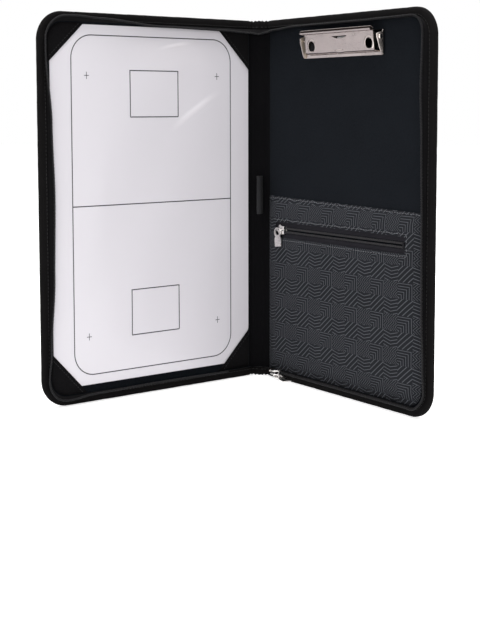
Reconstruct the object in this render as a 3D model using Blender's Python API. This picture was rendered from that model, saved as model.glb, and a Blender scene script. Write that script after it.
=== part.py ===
"""Zipped tactics folder, standing open like a book.

Two padded covers hinge on a narrow spine. The front cover holds a tactics
sheet in four corner pockets. The back cover carries a sprung paper clip and a
zipped pocket. A zip runs round three sides of both covers.

Metres, +Z up, the folder opens towards -Y and stands on its bottom edges.
Run with: blender --background --python part.py
"""

import math

import bmesh
import bpy
from mathutils import Matrix, Vector

MM = 0.001

# Driving dimensions of the whole folder
FOLDER_HEIGHT = 357 * MM
COVER_WIDTH = 244 * MM          # fold line to fore-edge
SPINE_WIDTH = 18 * MM           # space between the two linings when closed
CORNER_RADIUS = 26 * MM
LEAST_CORNER_RADIUS = 4 * MM    # of the padding's inner outlines
REST_OPENING = 85.0             # degrees between the covers as it stands

# Clearances
GAP = 0.3 * MM                  # between pieces that touch
FOLD_START = 2.0 * MM           # cover layers begin this far from the fold line
SPINE_MARGIN = 1.0 * MM         # spine layers end this far from the fold line

# Layers of a cover, from the inside out
LINING_T = 0.8 * MM
BOARD_T = 1.3 * MM
FOAM_T = 2.0 * MM
FABRIC_T = 1.0 * MM
BINDING_T = 0.8 * MM
BINDING_WIDTH = 8.0 * MM
BINDING_ROUND = 1.6             # rounded corner of the binding, in its own thicknesses
BINDING_CHAMFER = 0.5           # depth of that corner's middle point
TAPE_T = 0.5 * MM

# Padded crown: run past the binding, and share of the full rise
CROWN_STEPS = ((1.0 * MM, 0.0), (3.5 * MM, 0.38), (6.5 * MM, 0.77), (12.0 * MM, 0.95), (37.0 * MM, 1.0))
CROWN_FOLD_RUN = (0.0, 0.0, 0.3 * MM, 1.2 * MM, 18.0 * MM)
CROWN_SHIFT = 0.8               # sideways offset of a layer for each unit of depth

# Zip round the covers
COIL_RADIUS = 1.1 * MM
CHAIN_HALF_GAP = 0.7 * MM       # from the middle of the chain to each coil
CHAIN_SETBACK = 0.7 * MM        # chain lies this far inside the binding
TAPE_HIDDEN = 2.0 * MM          # sewn edge of the tape, from the rim
TAPE_START = 8.0 * MM           # tapes begin this far from the fold line
COIL_TOP_START = 8.6 * MM
BACK_COIL_START = 15.5 * MM
FRONT_COIL_LEAD = 3.0 * MM      # front coil begins this far past the parked slider
STOP_LENGTH = 2.2 * MM
STOP_WALL = 0.3 * MM
TAIL_HALF = 6.5 * MM            # tape that crosses the spine at each end of the zip
TAIL_COIL_HALF = 6.0 * MM
TAIL_DROP = 1.7 * MM            # its coil lies this much lower than the covers' coils

# Zip slider and pull, the same casting on both zips
SLIDER_LENGTH = 11.0 * MM
SLIDER_PLATE_T = 0.9 * MM
SLIDER_FLANGE = 0.9 * MM
SLIDER_NOSE = 3.0 * MM          # length over which the nose tapers
SLIDER_NOSE_SHARE = 0.55        # width left at its end
TAPE_SLOT_MARGIN = 0.4 * MM
POST_LENGTH = 3.0 * MM
CROWN_WIRE = 0.7 * MM           # radius of the arch that holds the pull
CROWN_HALF_SPAN = 3.2 * MM
CROWN_WINDOW = 2.2 * MM
CROWN_BEND = 1.2 * MM
PULL_T = 1.0 * MM
PULL_STRIP = 1.2 * MM
PULL_HOLE_WIDTH = 2.6 * MM
PULL_HOLE_LENGTH = 4.2 * MM
PULL_WAIST = 4.6 * MM
PULL_TAB_WIDTH = 6.4 * MM
PULL_SHOULDER = 2.5 * MM        # between the waist and the full width of the tab
PULL_CORNER = 1.2 * MM
PULL_RIM = 1.3 * MM             # raised border of the tab
PULL_RECESS = 0.3 * MM          # depth of the panel inside it, on each face
PULL_LENGTH = 21.0 * MM         # from its pivot to its tip
SLIDER_PARK = 6.0 * MM          # bare coil between the stop and the parked slider
MAIN_PULL_DROOP = 9.0           # degrees, where its tip meets the ground

# Spine
PEN_LOOP_HEIGHT = 38.0 * MM
PEN_LOOP_ABOVE_MIDDLE = 5.7 * MM
PEN_LOOP_WIDTH = 6.6 * MM
PEN_LOOP_DEPTH = 15.0 * MM
PEN_LOOP_T = 0.9 * MM
PEN_LOOP_X = 1.2 * MM
FOLD_STRIP_BULGE = 1.6 * MM
FOLD_LINING_T = 0.5 * MM

# Tactics sheet and its corner pockets
SHEET_T = 1.0 * MM
SHEET_FOLD_SIDE = 4.3 * MM
SHEET_TOP_INSET = 11.0 * MM
SHEET_BOTTOM_INSET = 16.0 * MM
SHEET_SLACK = 0.3 * MM          # between the sheet's edge and a pocket's outer wall
POCKET_FABRIC_T = 0.7 * MM
CORNER_POCKET_LEG = 38.0 * MM
CORNER_POCKET_INSET = 9.5 * MM
CORNER_POCKET_FOLD_SIDE = 3.2 * MM

# Woven band and trim strip on the outside of the front cover
BAND_START = 18.5 * MM
BAND_WIDTH = 42.5 * MM
BAND_T = 0.7 * MM
TRIM_WIDTH = 7.0 * MM
TRIM_T = 0.9 * MM

# Zipped pocket on the back cover
POCKET_TOP = 182.0 * MM
POCKET_FOLD_SIDE = 3.0 * MM
POCKET_INSET = 9.6 * MM
POCKET_PANEL_T = 0.8 * MM
POCKET_RISE_RUN = (3.0 * MM, 9.0 * MM, 14.0 * MM)
POCKET_HEM_RISE = 0.5 * MM      # rise over the hem, before the panel climbs
POCKET_EASE = 0.3 * MM          # last part of the climb, where it flattens
POCKET_SKEW = 0.4 * MM          # inner face of the climb, behind the outer one
POCKET_ZIP_PLAY = 0.4 * MM      # between the zip's slider and the lining
WINDOW_START = 17.5 * MM
WINDOW_FORE_MARGIN = 33.0 * MM
WINDOW_BELOW_TOP = 23.5 * MM
WINDOW_HEIGHT = 15.5 * MM
POCKET_TAPE_UNDER = 3.0 * MM    # tape hidden under the panel's edge
POCKET_STOP_MARGIN = 1.5 * MM

# Paper clip, its heights measured from the lower edge of its base plate
CLIP_TOP_INSET = 17.0 * MM
CLIP_BASE_HEIGHT = 22.5 * MM
CLIP_BASE_HALF = 57.0 * MM
CLIP_PLATE_T = 1.0 * MM
CLIP_EAR_FOOT = 2.0 * MM
CLIP_EAR_MARGIN = 1.0 * MM
CLIP_EAR_RADIUS = 3.0 * MM
CLIP_PIVOT_UP = 16.0 * MM
CLIP_PIVOT_RISE = 3.4 * MM      # pivot above the base plate
ROD_RADIUS = 1.2 * MM
ROD_HEAD_RADIUS = 2.1 * MM
ROD_HEAD_LENGTH = 1.2 * MM
LEVER_END_PLAY = 4.5 * MM       # from the lever's end to the base plate's end
LEVER_T = 0.9 * MM
LEVER_JAW_UP = 3.4 * MM
LEVER_BEND_UP = 4.2 * MM
LEVER_BEND_RUN = 0.8 * MM
LEVER_BEND_DROP = 0.7 * MM
LEVER_LIP_RUN = 0.6 * MM        # last bit of the jaw, turned off the paper
LEVER_LIP_RISE = 0.2 * MM
LEVER_BEND_RISE = 2.5 * MM      # middle of the plate at its bend, above the pivot
LEVER_ROLL_UP = 24.6 * MM
LEVER_ROLL_RISE = 6.2 * MM
LEVER_ROLL_RADIUS = 1.8 * MM
RIVET_END_INSET = 15.65 * MM    # from the base plate's end to a rivet and its window
LEVER_WINDOW_UP = 10.5 * MM
LEVER_WINDOW_WIDTH = 8.0 * MM
LEVER_WINDOW_HEIGHT = 9.8 * MM
LEVER_FLANGE_START = 1.5 * MM   # flange from this far above the bend
LEVER_FLANGE_PAST = 5.5 * MM    # to this far above the pivot
LEVER_MARK_HALF = 7.0 * MM      # pressed crescents in the middle of the plate
LEVER_MARK_SAG = 2.0 * MM
LEVER_MARK_DEPTH = 0.35 * MM
LEVER_MARK_TOP_UP = 20.5 * MM
LEVER_MARK_LOW_UP = 5.6 * MM
SPRING_WIRE = 0.5 * MM
SPRING_TURNS = 5
SPRING_PITCH = 1.6 * MM
SPRING_LEG = 8.0 * MM
RIVET_SHANK = 1.2 * MM
RIVET_HEAD = 2.6 * MM
RIVET_HEAD_HEIGHT = 1.1 * MM
RIVET_DOME = ((0.9, 0.55), (0.5, 1.0))  # radius and height of the dome's rings, as shares

# Levels across a cover, measured along its inner normal; the lining's face is zero
LINING_BACK = -LINING_T
FLANGE_TOP = LINING_BACK - GAP
FLANGE_BOTTOM = FLANGE_TOP - FABRIC_T
BOARD_TOP = LINING_BACK - GAP
BOARD_BOTTOM = BOARD_TOP - BOARD_T
FOAM_TOP = BOARD_BOTTOM - GAP
FOAM_BOTTOM = FOAM_TOP - FOAM_T
OUTER_FACE = FOAM_BOTTOM - GAP - FABRIC_T
EDGE_INSET = BINDING_T + GAP
ZIP_INSET = BINDING_WIDTH + CHAIN_SETBACK
COIL_LEVEL = SPINE_WIDTH / 2 - CHAIN_HALF_GAP - COIL_RADIUS
HALF_TURN = math.radians(90 - REST_OPENING / 2)

# Places that follow from the sizes above
MAIN_SLIDER_U = BACK_COIL_START + SLIDER_PARK + SLIDER_LENGTH / 2
FRONT_COIL_START = MAIN_SLIDER_U + SLIDER_LENGTH / 2 + FRONT_COIL_LEAD
POCKET_STOP_U = WINDOW_START + POCKET_STOP_MARGIN
POCKET_SLIDER_U = POCKET_STOP_U + STOP_LENGTH + GAP + SLIDER_LENGTH / 2
WINDOW_END = COVER_WIDTH - WINDOW_FORE_MARGIN
WINDOW_BOTTOM = POCKET_TOP - WINDOW_BELOW_TOP - WINDOW_HEIGHT
CLIP_U = COVER_WIDTH / 2
CLIP_BOTTOM = FOLDER_HEIGHT - CLIP_TOP_INSET - CLIP_BASE_HEIGHT
CLIP_SEAT = GAP + CLIP_PLATE_T
CLIP_PIVOT = (CLIP_BOTTOM + CLIP_PIVOT_UP, CLIP_SEAT + CLIP_PIVOT_RISE)
LEVER_HALF = CLIP_BASE_HALF - LEVER_END_PLAY
RIVET_OFFSET = CLIP_BASE_HALF - RIVET_END_INSET
RIVET_PLACES = [(CLIP_U + way * RIVET_OFFSET, CLIP_BOTTOM + LEVER_WINDOW_UP) for way in (-1, 1)]

ARC_STEPS = 12
COIL_SIDES = 8


def clear_scene():
    for obj in list(bpy.data.objects):
        bpy.data.objects.remove(obj, do_unlink=True)


def make_material(name, colour, roughness, metallic=0.0):
    material = bpy.data.materials.new(name)
    material.use_nodes = True
    shader = material.node_tree.nodes["Principled BSDF"]
    shader.inputs["Base Color"].default_value = (*colour, 1.0)
    shader.inputs["Roughness"].default_value = roughness
    shader.inputs["Metallic"].default_value = metallic
    return material


def arc(centre, radius, start, end, steps=ARC_STEPS):
    """Points of a circular arc in a plane, angles in degrees."""
    points = []
    for step in range(steps + 1):
        angle = math.radians(start + (end - start) * step / steps)
        points.append((centre[0] + radius * math.cos(angle), centre[1] + radius * math.sin(angle)))
    return points


def loft(rings, closed=False):
    """Skin rings of equally many points; the two ends are capped unless closed."""
    mesh = bmesh.new()
    rows = [[mesh.verts.new(point) for point in ring] for ring in rings]
    pairs = list(zip(rows, rows[1:]))
    if closed:
        pairs.append((rows[-1], rows[0]))
    for first, second in pairs:
        for i in range(len(first)):
            j = (i + 1) % len(first)
            mesh.faces.new((first[i], first[j], second[j], second[i]))
    if not closed:
        mesh.faces.new(list(reversed(rows[0])))
        mesh.faces.new(rows[-1])
    return mesh


def prism(outline, low, high, along):
    """Extrude a plane outline; along is the axis index that runs from low to high."""
    def place(point, level):
        values = list(point)
        values.insert(along, level)
        return tuple(values)
    return loft([[place(p, low) for p in outline], [place(p, high) for p in outline]])


def ribbon(points, thickness):
    """Closed outline of a strip that follows a centre line in a plane."""
    count = len(points)
    left = []
    right = []
    for i, point in enumerate(points):
        before = Vector(points[max(i - 1, 0)])
        after = Vector(points[min(i + 1, count - 1)])
        here = Vector(point)
        into = (here - before).normalized() if i > 0 else (after - here).normalized()
        out = (after - here).normalized() if i < count - 1 else into
        middle = (into + out).normalized()
        normal = Vector((-middle.y, middle.x))
        reach = thickness / 2 / max(0.5, math.sqrt((1 + into.dot(out)) / 2))
        left.append(tuple(here + normal * reach))
        right.append(tuple(here - normal * reach))
    return left + list(reversed(right))


def tube(points, radius, sides):
    """Round tube along a chain of points, its rings turned as little as possible."""
    path = [Vector(p) for p in points]
    rings = []
    across = None
    for i, point in enumerate(path):
        ahead = path[min(i + 1, len(path) - 1)] - path[max(i - 1, 0)]
        ahead.normalize()
        if across is None:
            across = ahead.orthogonal().normalized()
        across = (across - ahead * across.dot(ahead)).normalized()
        side = ahead.cross(across)
        ring = []
        for k in range(sides):
            angle = 2 * math.pi * k / sides
            ring.append(tuple(point + radius * (across * math.cos(angle) + side * math.sin(angle))))
        rings.append(ring)
    return loft(rings)


class Cover:
    """Local frame of one cover: u from the fold to the fore-edge, w inwards, z up."""

    def __init__(self, name, side, spine_y):
        self.name = name
        self.side = side
        self.axis = bpy.data.objects.new(name + "_fold_axis", None)
        bpy.context.collection.objects.link(self.axis)
        turn = math.pi + HALF_TURN if side > 0 else -HALF_TURN
        self.axis.location = (-side * SPINE_WIDTH / 2, spine_y, 0)
        self.axis.rotation_euler = (0, 0, turn)

    def point(self, u, w, z):
        return Vector((u, self.side * w, z))


def shade(mesh_data, sharp_angle):
    mesh_data.shade_smooth()
    mesh_data.set_sharp_from_angle(angle=math.radians(sharp_angle))


def finish_mesh(name, mesh, material, parent, origin, sharp_angle):
    bmesh.ops.remove_doubles(mesh, verts=mesh.verts, dist=1e-7)
    bmesh.ops.translate(mesh, verts=mesh.verts, vec=-origin)
    bmesh.ops.recalc_face_normals(mesh, faces=mesh.faces)
    data = bpy.data.meshes.new(name)
    mesh.to_mesh(data)
    mesh.free()
    shade(data, sharp_angle)
    data.materials.append(material)
    obj = bpy.data.objects.new(name, data)
    bpy.context.collection.objects.link(obj)
    obj.parent = parent
    obj.location = origin
    return obj


def cover_piece(cover, name, mesh, material, pivot=(0, 0, 0), sharp_angle=40):
    """Turn a mesh in cover coordinates (u, w, z) into a node, with its origin at the pivot."""
    for vert in mesh.verts:
        vert.co = cover.point(*vert.co)
    return finish_mesh(name, mesh, material, cover.axis, cover.point(*pivot), sharp_angle)


def spine_piece(spine, name, mesh, material, sharp_angle=40):
    """Turn a mesh in spine coordinates (x, w, z) into a node; w points out of the folder's inside."""
    for vert in mesh.verts:
        vert.co = Vector((vert.co.x, -vert.co.y, vert.co.z))
    return finish_mesh(name, mesh, material, spine, Vector((0, 0, 0)), sharp_angle)


def as_tool(obj):
    obj.hide_render = True
    obj.display_type = "WIRE"
    obj.hide_viewport = False
    return obj


def boolean(target, tool, operation):
    modifier = target.modifiers.new(operation.title(), "BOOLEAN")
    modifier.operation = operation
    modifier.solver = "EXACT"
    modifier.object = as_tool(tool)


def edge_path(inset, fold_start, fold_end=None):
    """Points (u, z) along the three free sides of a cover at one inset, from the bottom fold."""
    radius = max(CORNER_RADIUS - inset, LEAST_CORNER_RADIUS)
    corner_u = COVER_WIDTH - inset - radius
    path = [(fold_start, inset)]
    path += arc((corner_u, inset + radius), radius, -90, 0)
    path += arc((corner_u, FOLDER_HEIGHT - inset - radius), radius, 0, 90)
    path.append((fold_start if fold_end is None else fold_end, FOLDER_HEIGHT - inset))
    return path


def cover_ring(inset, fold_start, w):
    return [(u, w, z) for u, z in edge_path(inset, fold_start)]


def sweep_edge(profile, fold_start, fold_end=None):
    """Sweep a profile of (inset, w) points along the cover's three free sides."""
    paths = [edge_path(inset, fold_start, fold_end) for inset, _ in profile]
    rings = []
    for station in range(len(paths[0])):
        ring = [(paths[k][station][0], profile[k][1], paths[k][station][1]) for k in range(len(profile))]
        rings.append(ring)
    return loft(rings)


def crown_levels(depth):
    """Rings (inset, fold side, w) of the padded face, at a depth below the outer face."""
    rise = FLANGE_BOTTOM - OUTER_FACE
    levels = []
    for (run, share), fold_run in zip(CROWN_STEPS, CROWN_FOLD_RUN):
        inset = BINDING_WIDTH + run + depth * CROWN_SHIFT
        levels.append((inset, FOLD_START + fold_run + depth, FLANGE_BOTTOM - share * rise + depth))
    return levels


def crown_inset(depth, w):
    """Inset at which the padded face, at a depth, reaches a level."""
    levels = crown_levels(depth)
    for lower, upper in zip(levels, levels[1:]):
        if upper[2] <= w <= lower[2]:
            share = (lower[2] - w) / (lower[2] - upper[2])
            return lower[0] + share * (upper[0] - lower[0])
    return levels[0][0]


def crown_surface(inset):
    """Level of the outer face over a straight edge, at an inset from the rim."""
    levels = crown_levels(0)
    if inset <= levels[0][0]:
        return levels[0][2]
    for lower, upper in zip(levels, levels[1:]):
        if inset <= upper[0]:
            share = (inset - lower[0]) / (upper[0] - lower[0])
            return lower[2] + share * (upper[2] - lower[2])
    return levels[-1][2]


def add_cover_layers(cover, cloth, foam, board, lining, binding, holes):
    """Padded outer fabric, foam, stiff board, lining and the binding round them."""
    outer = [(EDGE_INSET, FOLD_START, FLANGE_BOTTOM)] + crown_levels(0)
    inner = [(EDGE_INSET, FOLD_START + FABRIC_T, FLANGE_TOP)] + crown_levels(FABRIC_T)
    rings = [cover_ring(*level) for level in reversed(inner)] + [cover_ring(*level) for level in outer]
    cover_piece(cover, cover.name + "_outer_fabric", loft(rings), cloth)

    depth = FABRIC_T + GAP
    fold_side = FOLD_START + depth
    rings = [cover_ring(crown_inset(depth, FOAM_TOP), fold_side, FOAM_TOP)]
    rings += [cover_ring(*level) for level in crown_levels(depth) if level[2] < FOAM_TOP - GAP]
    cover_piece(cover, cover.name + "_foam_pad", loft(rings), foam)

    inset = crown_inset(depth, BOARD_BOTTOM) + GAP
    rings = [cover_ring(inset, fold_side, BOARD_BOTTOM), cover_ring(inset, fold_side, BOARD_TOP)]
    stiff = cover_piece(cover, cover.name + "_board", loft(rings), board)

    rings = [cover_ring(EDGE_INSET, FOLD_START, LINING_BACK), cover_ring(EDGE_INSET, FOLD_START, 0)]
    inside = cover_piece(cover, cover.name + "_lining", loft(rings), lining)
    for index, (u, z, radius) in enumerate(holes):
        outline = arc((u, z), radius, 0, 337.5, 15)
        drill = prism(outline, BOARD_BOTTOM - GAP, GAP, 1)
        tool = cover_piece(cover, "%s_drill_%d" % (cover.name, index + 1), drill, board)
        boolean(stiff, tool, "DIFFERENCE")
        boolean(inside, tool, "DIFFERENCE")

    leg_in = 2 * GAP + TAPE_T
    leg_out = FLANGE_BOTTOM - GAP
    edge = sweep_edge(binding_profile(leg_in, leg_out), FOLD_START + GAP)
    cover_piece(cover, cover.name + "_binding", edge, binding)


def binding_profile(leg_in, leg_out):
    """U section of the edge binding; the legs lie on the inside and outside of the cover."""
    t = BINDING_T
    outside = leg_out - t
    inside = leg_in + t
    run = BINDING_ROUND * t
    cut = BINDING_CHAMFER * t
    profile = [(BINDING_WIDTH, leg_out), (BINDING_WIDTH, outside), (run, outside), (cut, outside + cut)]
    profile += [(0, outside + run), (0, inside - run), (cut, inside - cut), (run, inside)]
    profile += [(BINDING_WIDTH, inside), (BINDING_WIDTH, leg_in), (t, leg_in), (t, leg_out)]
    return profile


def add_cover_zip(cover, tape, coil, coil_start):
    """Zip tape sewn under the binding, with its coil on the free edge."""
    low = ZIP_INSET - TAPE_T / 2
    high = ZIP_INSET + TAPE_T / 2
    top = COIL_LEVEL - COIL_RADIUS - GAP
    profile = [(TAPE_HIDDEN, GAP), (high, GAP), (high, top), (low, top)]
    profile += [(low, GAP + TAPE_T), (TAPE_HIDDEN, GAP + TAPE_T)]
    cover_piece(cover, cover.name + "_zip_tape", sweep_edge(profile, TAPE_START), tape)

    section = arc((ZIP_INSET, COIL_LEVEL), COIL_RADIUS, 0, 360 - 360 / COIL_SIDES, COIL_SIDES - 1)
    coils = sweep_edge(section, coil_start, COIL_TOP_START)
    cover_piece(cover, cover.name + "_zip_coil", coils, coil, sharp_angle=60)


def add_zip_stop(cover, name, metal, u, z):
    """Small block that ends a coil."""
    half = COIL_RADIUS + STOP_WALL
    low = COIL_LEVEL - COIL_RADIUS
    outline = [(low, z - half), (COIL_LEVEL + half, z - half), (COIL_LEVEL + half, z + half), (low, z + half)]
    cover_piece(cover, name, prism(outline, u, u + STOP_LENGTH, 0), metal)


def slider_parts():
    """Meshes of a slider in its own frame: X along the chain, Y across it, Z towards the pull."""
    channel = COIL_RADIUS + GAP
    face = channel + SLIDER_PLATE_T
    inner = CHAIN_HALF_GAP + 2 * COIL_RADIUS + GAP
    outer = inner + SLIDER_FLANGE
    half = SLIDER_LENGTH / 2
    shoulder = half - SLIDER_NOSE
    plate = [(-half, -outer), (shoulder, -outer), (half, -SLIDER_NOSE_SHARE * outer)]
    plate += [(half, SLIDER_NOSE_SHARE * outer), (shoulder, outer), (-half, outer)]
    slot = TAPE_T / 2 + TAPE_SLOT_MARGIN
    sink = SLIDER_PLATE_T / 2
    meshes = [prism(plate, channel, face, 2), prism(plate, -face, -channel, 2)]
    for y_side in (-1, 1):
        for z_side in (-1, 1):
            ys = sorted((y_side * inner, y_side * outer))
            zs = sorted((z_side * slot, z_side * (channel + sink)))
            flange = [(-half, ys[0]), (shoulder, ys[0]), (shoulder, ys[1]), (-half, ys[1])]
            meshes.append(prism(flange, zs[0], zs[1], 2))
    post_half = CHAIN_HALF_GAP - GAP
    post = [(shoulder - POST_LENGTH / 2, -post_half), (shoulder + POST_LENGTH / 2, -post_half)]
    post += [(shoulder + POST_LENGTH / 2, post_half), (shoulder - POST_LENGTH / 2, post_half)]
    meshes.append(prism(post, -channel - sink, channel + sink, 2))
    bar = face + CROWN_WINDOW + CROWN_WIRE
    legs = [(-CROWN_HALF_SPAN, face - sink)]
    legs += arc((-CROWN_HALF_SPAN + CROWN_BEND, bar - CROWN_BEND), CROWN_BEND, 180, 90, 3)
    legs += arc((CROWN_HALF_SPAN - CROWN_BEND, bar - CROWN_BEND), CROWN_BEND, 90, 0, 3)
    legs.append((CROWN_HALF_SPAN, face - sink))
    meshes.append(tube([(x, 0, z) for x, z in legs], CROWN_WIRE, 10))
    return meshes


def add_slider(cover, name, metal, centre, place):
    """Fuse the slider's parts into one casting; place maps its frame to the cover's."""
    body = None
    for index, mesh in enumerate(slider_parts()):
        for vert in mesh.verts:
            vert.co = Vector(place(*vert.co))
        part_name = name if body is None else "%s_part_%d" % (name, index)
        part = cover_piece(cover, part_name, mesh, metal, centre, 50)
        if body is None:
            body = part
        else:
            boolean(body, part, "UNION")


def pull_mesh():
    """Pull in its own frame: the pivot at the origin, the tab towards -Y, flat in Z."""
    eye_half = PULL_HOLE_WIDTH / 2 + PULL_STRIP
    top = PULL_STRIP + GAP + CROWN_WIRE
    waist_y = -PULL_HOLE_LENGTH - PULL_STRIP
    tab_y = waist_y - PULL_SHOULDER
    corner = PULL_CORNER
    tip = -PULL_LENGTH
    outline = arc((0, top - eye_half), eye_half, 0, 180, 8)
    outline += [(-PULL_WAIST / 2, waist_y), (-PULL_TAB_WIDTH / 2, tab_y)]
    outline += arc((-PULL_TAB_WIDTH / 2 + corner, tip + corner), corner, 180, 270, 4)
    outline += arc((PULL_TAB_WIDTH / 2 - corner, tip + corner), corner, 270, 360, 4)
    outline += [(PULL_TAB_WIDTH / 2, tab_y), (PULL_WAIST / 2, waist_y)]
    return prism(outline, -PULL_T / 2, PULL_T / 2, 2)


def pull_hole_mesh():
    top = GAP + CROWN_WIRE
    radius = PULL_HOLE_WIDTH / 2
    outline = arc((0, top - radius), radius, 0, 180, 6)
    outline += arc((0, top - PULL_HOLE_LENGTH + radius), radius, 180, 360, 6)
    return prism(outline, -PULL_T, PULL_T, 2)


def pull_panel_mesh(way):
    """Recess in one face of the tab, inside a raised border."""
    half = PULL_TAB_WIDTH / 2 - PULL_RIM
    top = -PULL_HOLE_LENGTH - PULL_STRIP - PULL_SHOULDER - PULL_RIM
    bottom = -PULL_LENGTH + PULL_RIM
    outline = [(-half, bottom), (half, bottom), (half, top), (-half, top)]
    levels = sorted((way * (PULL_T / 2 - PULL_RECESS), way * PULL_T))
    return prism(outline, levels[0], levels[1], 2)


def add_pull(cover, name, metal, pivot, place):
    meshes = [pull_mesh(), pull_hole_mesh(), pull_panel_mesh(-1), pull_panel_mesh(1)]
    for mesh in meshes:
        for vert in mesh.verts:
            vert.co = Vector(place(*vert.co))
    tab = cover_piece(cover, name, meshes[0], metal, pivot, 50)
    for label, mesh in zip(("eye", "panel_inner", "panel_outer"), meshes[1:]):
        boolean(tab, cover_piece(cover, "%s_%s" % (name, label), mesh, metal, pivot), "DIFFERENCE")


def add_main_zip_slider(cover, metal):
    """Slider on the back cover's coil, pull underneath; its middle is the middle of the chain."""
    middle = SPINE_WIDTH / 2
    crown = COIL_RADIUS + GAP + SLIDER_PLATE_T + CROWN_WINDOW / 2
    droop = math.radians(MAIN_PULL_DROOP)

    def place(x, y, z):
        return (MAIN_SLIDER_U + x, middle + y, ZIP_INSET - z)

    strip = GAP + CROWN_WIRE + PULL_STRIP / 2

    def place_pull(x, y, z):
        along = strip - y
        return (MAIN_SLIDER_U + along * math.cos(droop) + z * math.sin(droop), middle + x,
                ZIP_INSET - crown - along * math.sin(droop) + z * math.cos(droop))

    add_slider(cover, "main_zip_slider", metal, (MAIN_SLIDER_U, middle, ZIP_INSET), place)
    add_pull(cover, "main_zip_pull", metal, (MAIN_SLIDER_U, middle, ZIP_INSET - crown), place_pull)


def add_pocket(cover, cloth, tape, coil, metal):
    """Zipped pocket: one panel with a window, and the zip behind it."""
    zip_z = WINDOW_BOTTOM + WINDOW_HEIGHT / 2
    face = COIL_RADIUS + GAP + SLIDER_PLATE_T
    zip_w = face + POCKET_ZIP_PLAY
    panel_in = zip_w + TAPE_T / 2 + GAP
    panel_out = panel_in + POCKET_PANEL_T
    right = COVER_WIDTH - POCKET_INSET
    radius = CORNER_RADIUS - POCKET_INSET

    def ring(inset, w):
        corner = (right - radius, POCKET_INSET + radius)
        path = [(POCKET_FOLD_SIDE + inset, POCKET_INSET + inset)]
        path += arc(corner, radius - inset, -90, 0)
        path += [(right - inset, POCKET_TOP - inset), (POCKET_FOLD_SIDE + inset, POCKET_TOP - inset)]
        return [(u, w, z) for u, z in path]

    near, middle, far = POCKET_RISE_RUN
    hem = GAP + POCKET_PANEL_T
    outer = [(0, GAP), (0, hem), (near, hem + POCKET_HEM_RISE)]
    outer += [(middle, panel_out - POCKET_EASE), (far, panel_out)]
    inner = [(near - POCKET_HEM_RISE, GAP), (near + POCKET_SKEW, GAP + POCKET_HEM_RISE)]
    inner += [(middle + POCKET_SKEW, panel_in - POCKET_EASE), (far + POCKET_SKEW, panel_in)]
    rings = [ring(*level) for level in reversed(inner)] + [ring(*level) for level in outer]
    panel = cover_piece(cover, "pocket_panel", loft(rings), cloth)
    window = [(WINDOW_START, WINDOW_BOTTOM), (WINDOW_END, WINDOW_BOTTOM)]
    window += [(WINDOW_END, WINDOW_BOTTOM + WINDOW_HEIGHT), (WINDOW_START, WINDOW_BOTTOM + WINDOW_HEIGHT)]
    tool = cover_piece(cover, "pocket_window", prism(window, GAP / 2, panel_out + POCKET_PANEL_T, 1), cloth)
    boolean(panel, tool, "DIFFERENCE")

    free_edge = CHAIN_HALF_GAP + 2 * COIL_RADIUS + GAP
    hidden = WINDOW_HEIGHT / 2 + POCKET_TAPE_UNDER
    tape_low = zip_w - TAPE_T / 2
    tape_high = zip_w + TAPE_T / 2
    coil_start = POCKET_STOP_U + STOP_LENGTH + GAP
    coil_end = WINDOW_END - POCKET_STOP_MARGIN - STOP_LENGTH - GAP
    for label, way in (("lower", -1), ("upper", 1)):
        zs = sorted((zip_z + way * free_edge, zip_z + way * hidden))
        strip = [(tape_low, zs[0]), (tape_high, zs[0]), (tape_high, zs[1]), (tape_low, zs[1])]
        strip_mesh = prism(strip, WINDOW_START, WINDOW_END + POCKET_TAPE_UNDER, 0)
        cover_piece(cover, "pocket_zip_tape_" + label, strip_mesh, tape)
        centre = (zip_w, zip_z + way * (CHAIN_HALF_GAP + COIL_RADIUS))
        section = arc(centre, COIL_RADIUS, 0, 360 - 360 / COIL_SIDES, COIL_SIDES - 1)
        row = prism(section, coil_start, coil_end, 0)
        cover_piece(cover, "pocket_zip_coil_" + label, row, coil, sharp_angle=60)

    reach = free_edge - GAP
    block = [(zip_w - COIL_RADIUS, zip_z - reach), (zip_w + COIL_RADIUS, zip_z - reach)]
    block += [(zip_w + COIL_RADIUS, zip_z + reach), (zip_w - COIL_RADIUS, zip_z + reach)]
    first = POCKET_STOP_U
    last = WINDOW_END - POCKET_STOP_MARGIN - STOP_LENGTH
    cover_piece(cover, "pocket_zip_stop_left", prism(block, first, first + STOP_LENGTH, 0), metal)
    cover_piece(cover, "pocket_zip_stop_right", prism(block, last, last + STOP_LENGTH, 0), metal)

    def place(x, y, z):
        return (POCKET_SLIDER_U - x, zip_w + z, zip_z + y)

    leg_u = POCKET_SLIDER_U - CROWN_HALF_SPAN
    pull_w = zip_w + face + CROWN_WINDOW / 2

    def place_pull(x, y, z):
        return (leg_u + x, pull_w + z, zip_z + y)

    add_slider(cover, "pocket_zip_slider", metal, (POCKET_SLIDER_U, zip_w, zip_z), place)
    add_pull(cover, "pocket_zip_pull", metal, (leg_u, pull_w, zip_z), place_pull)


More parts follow.
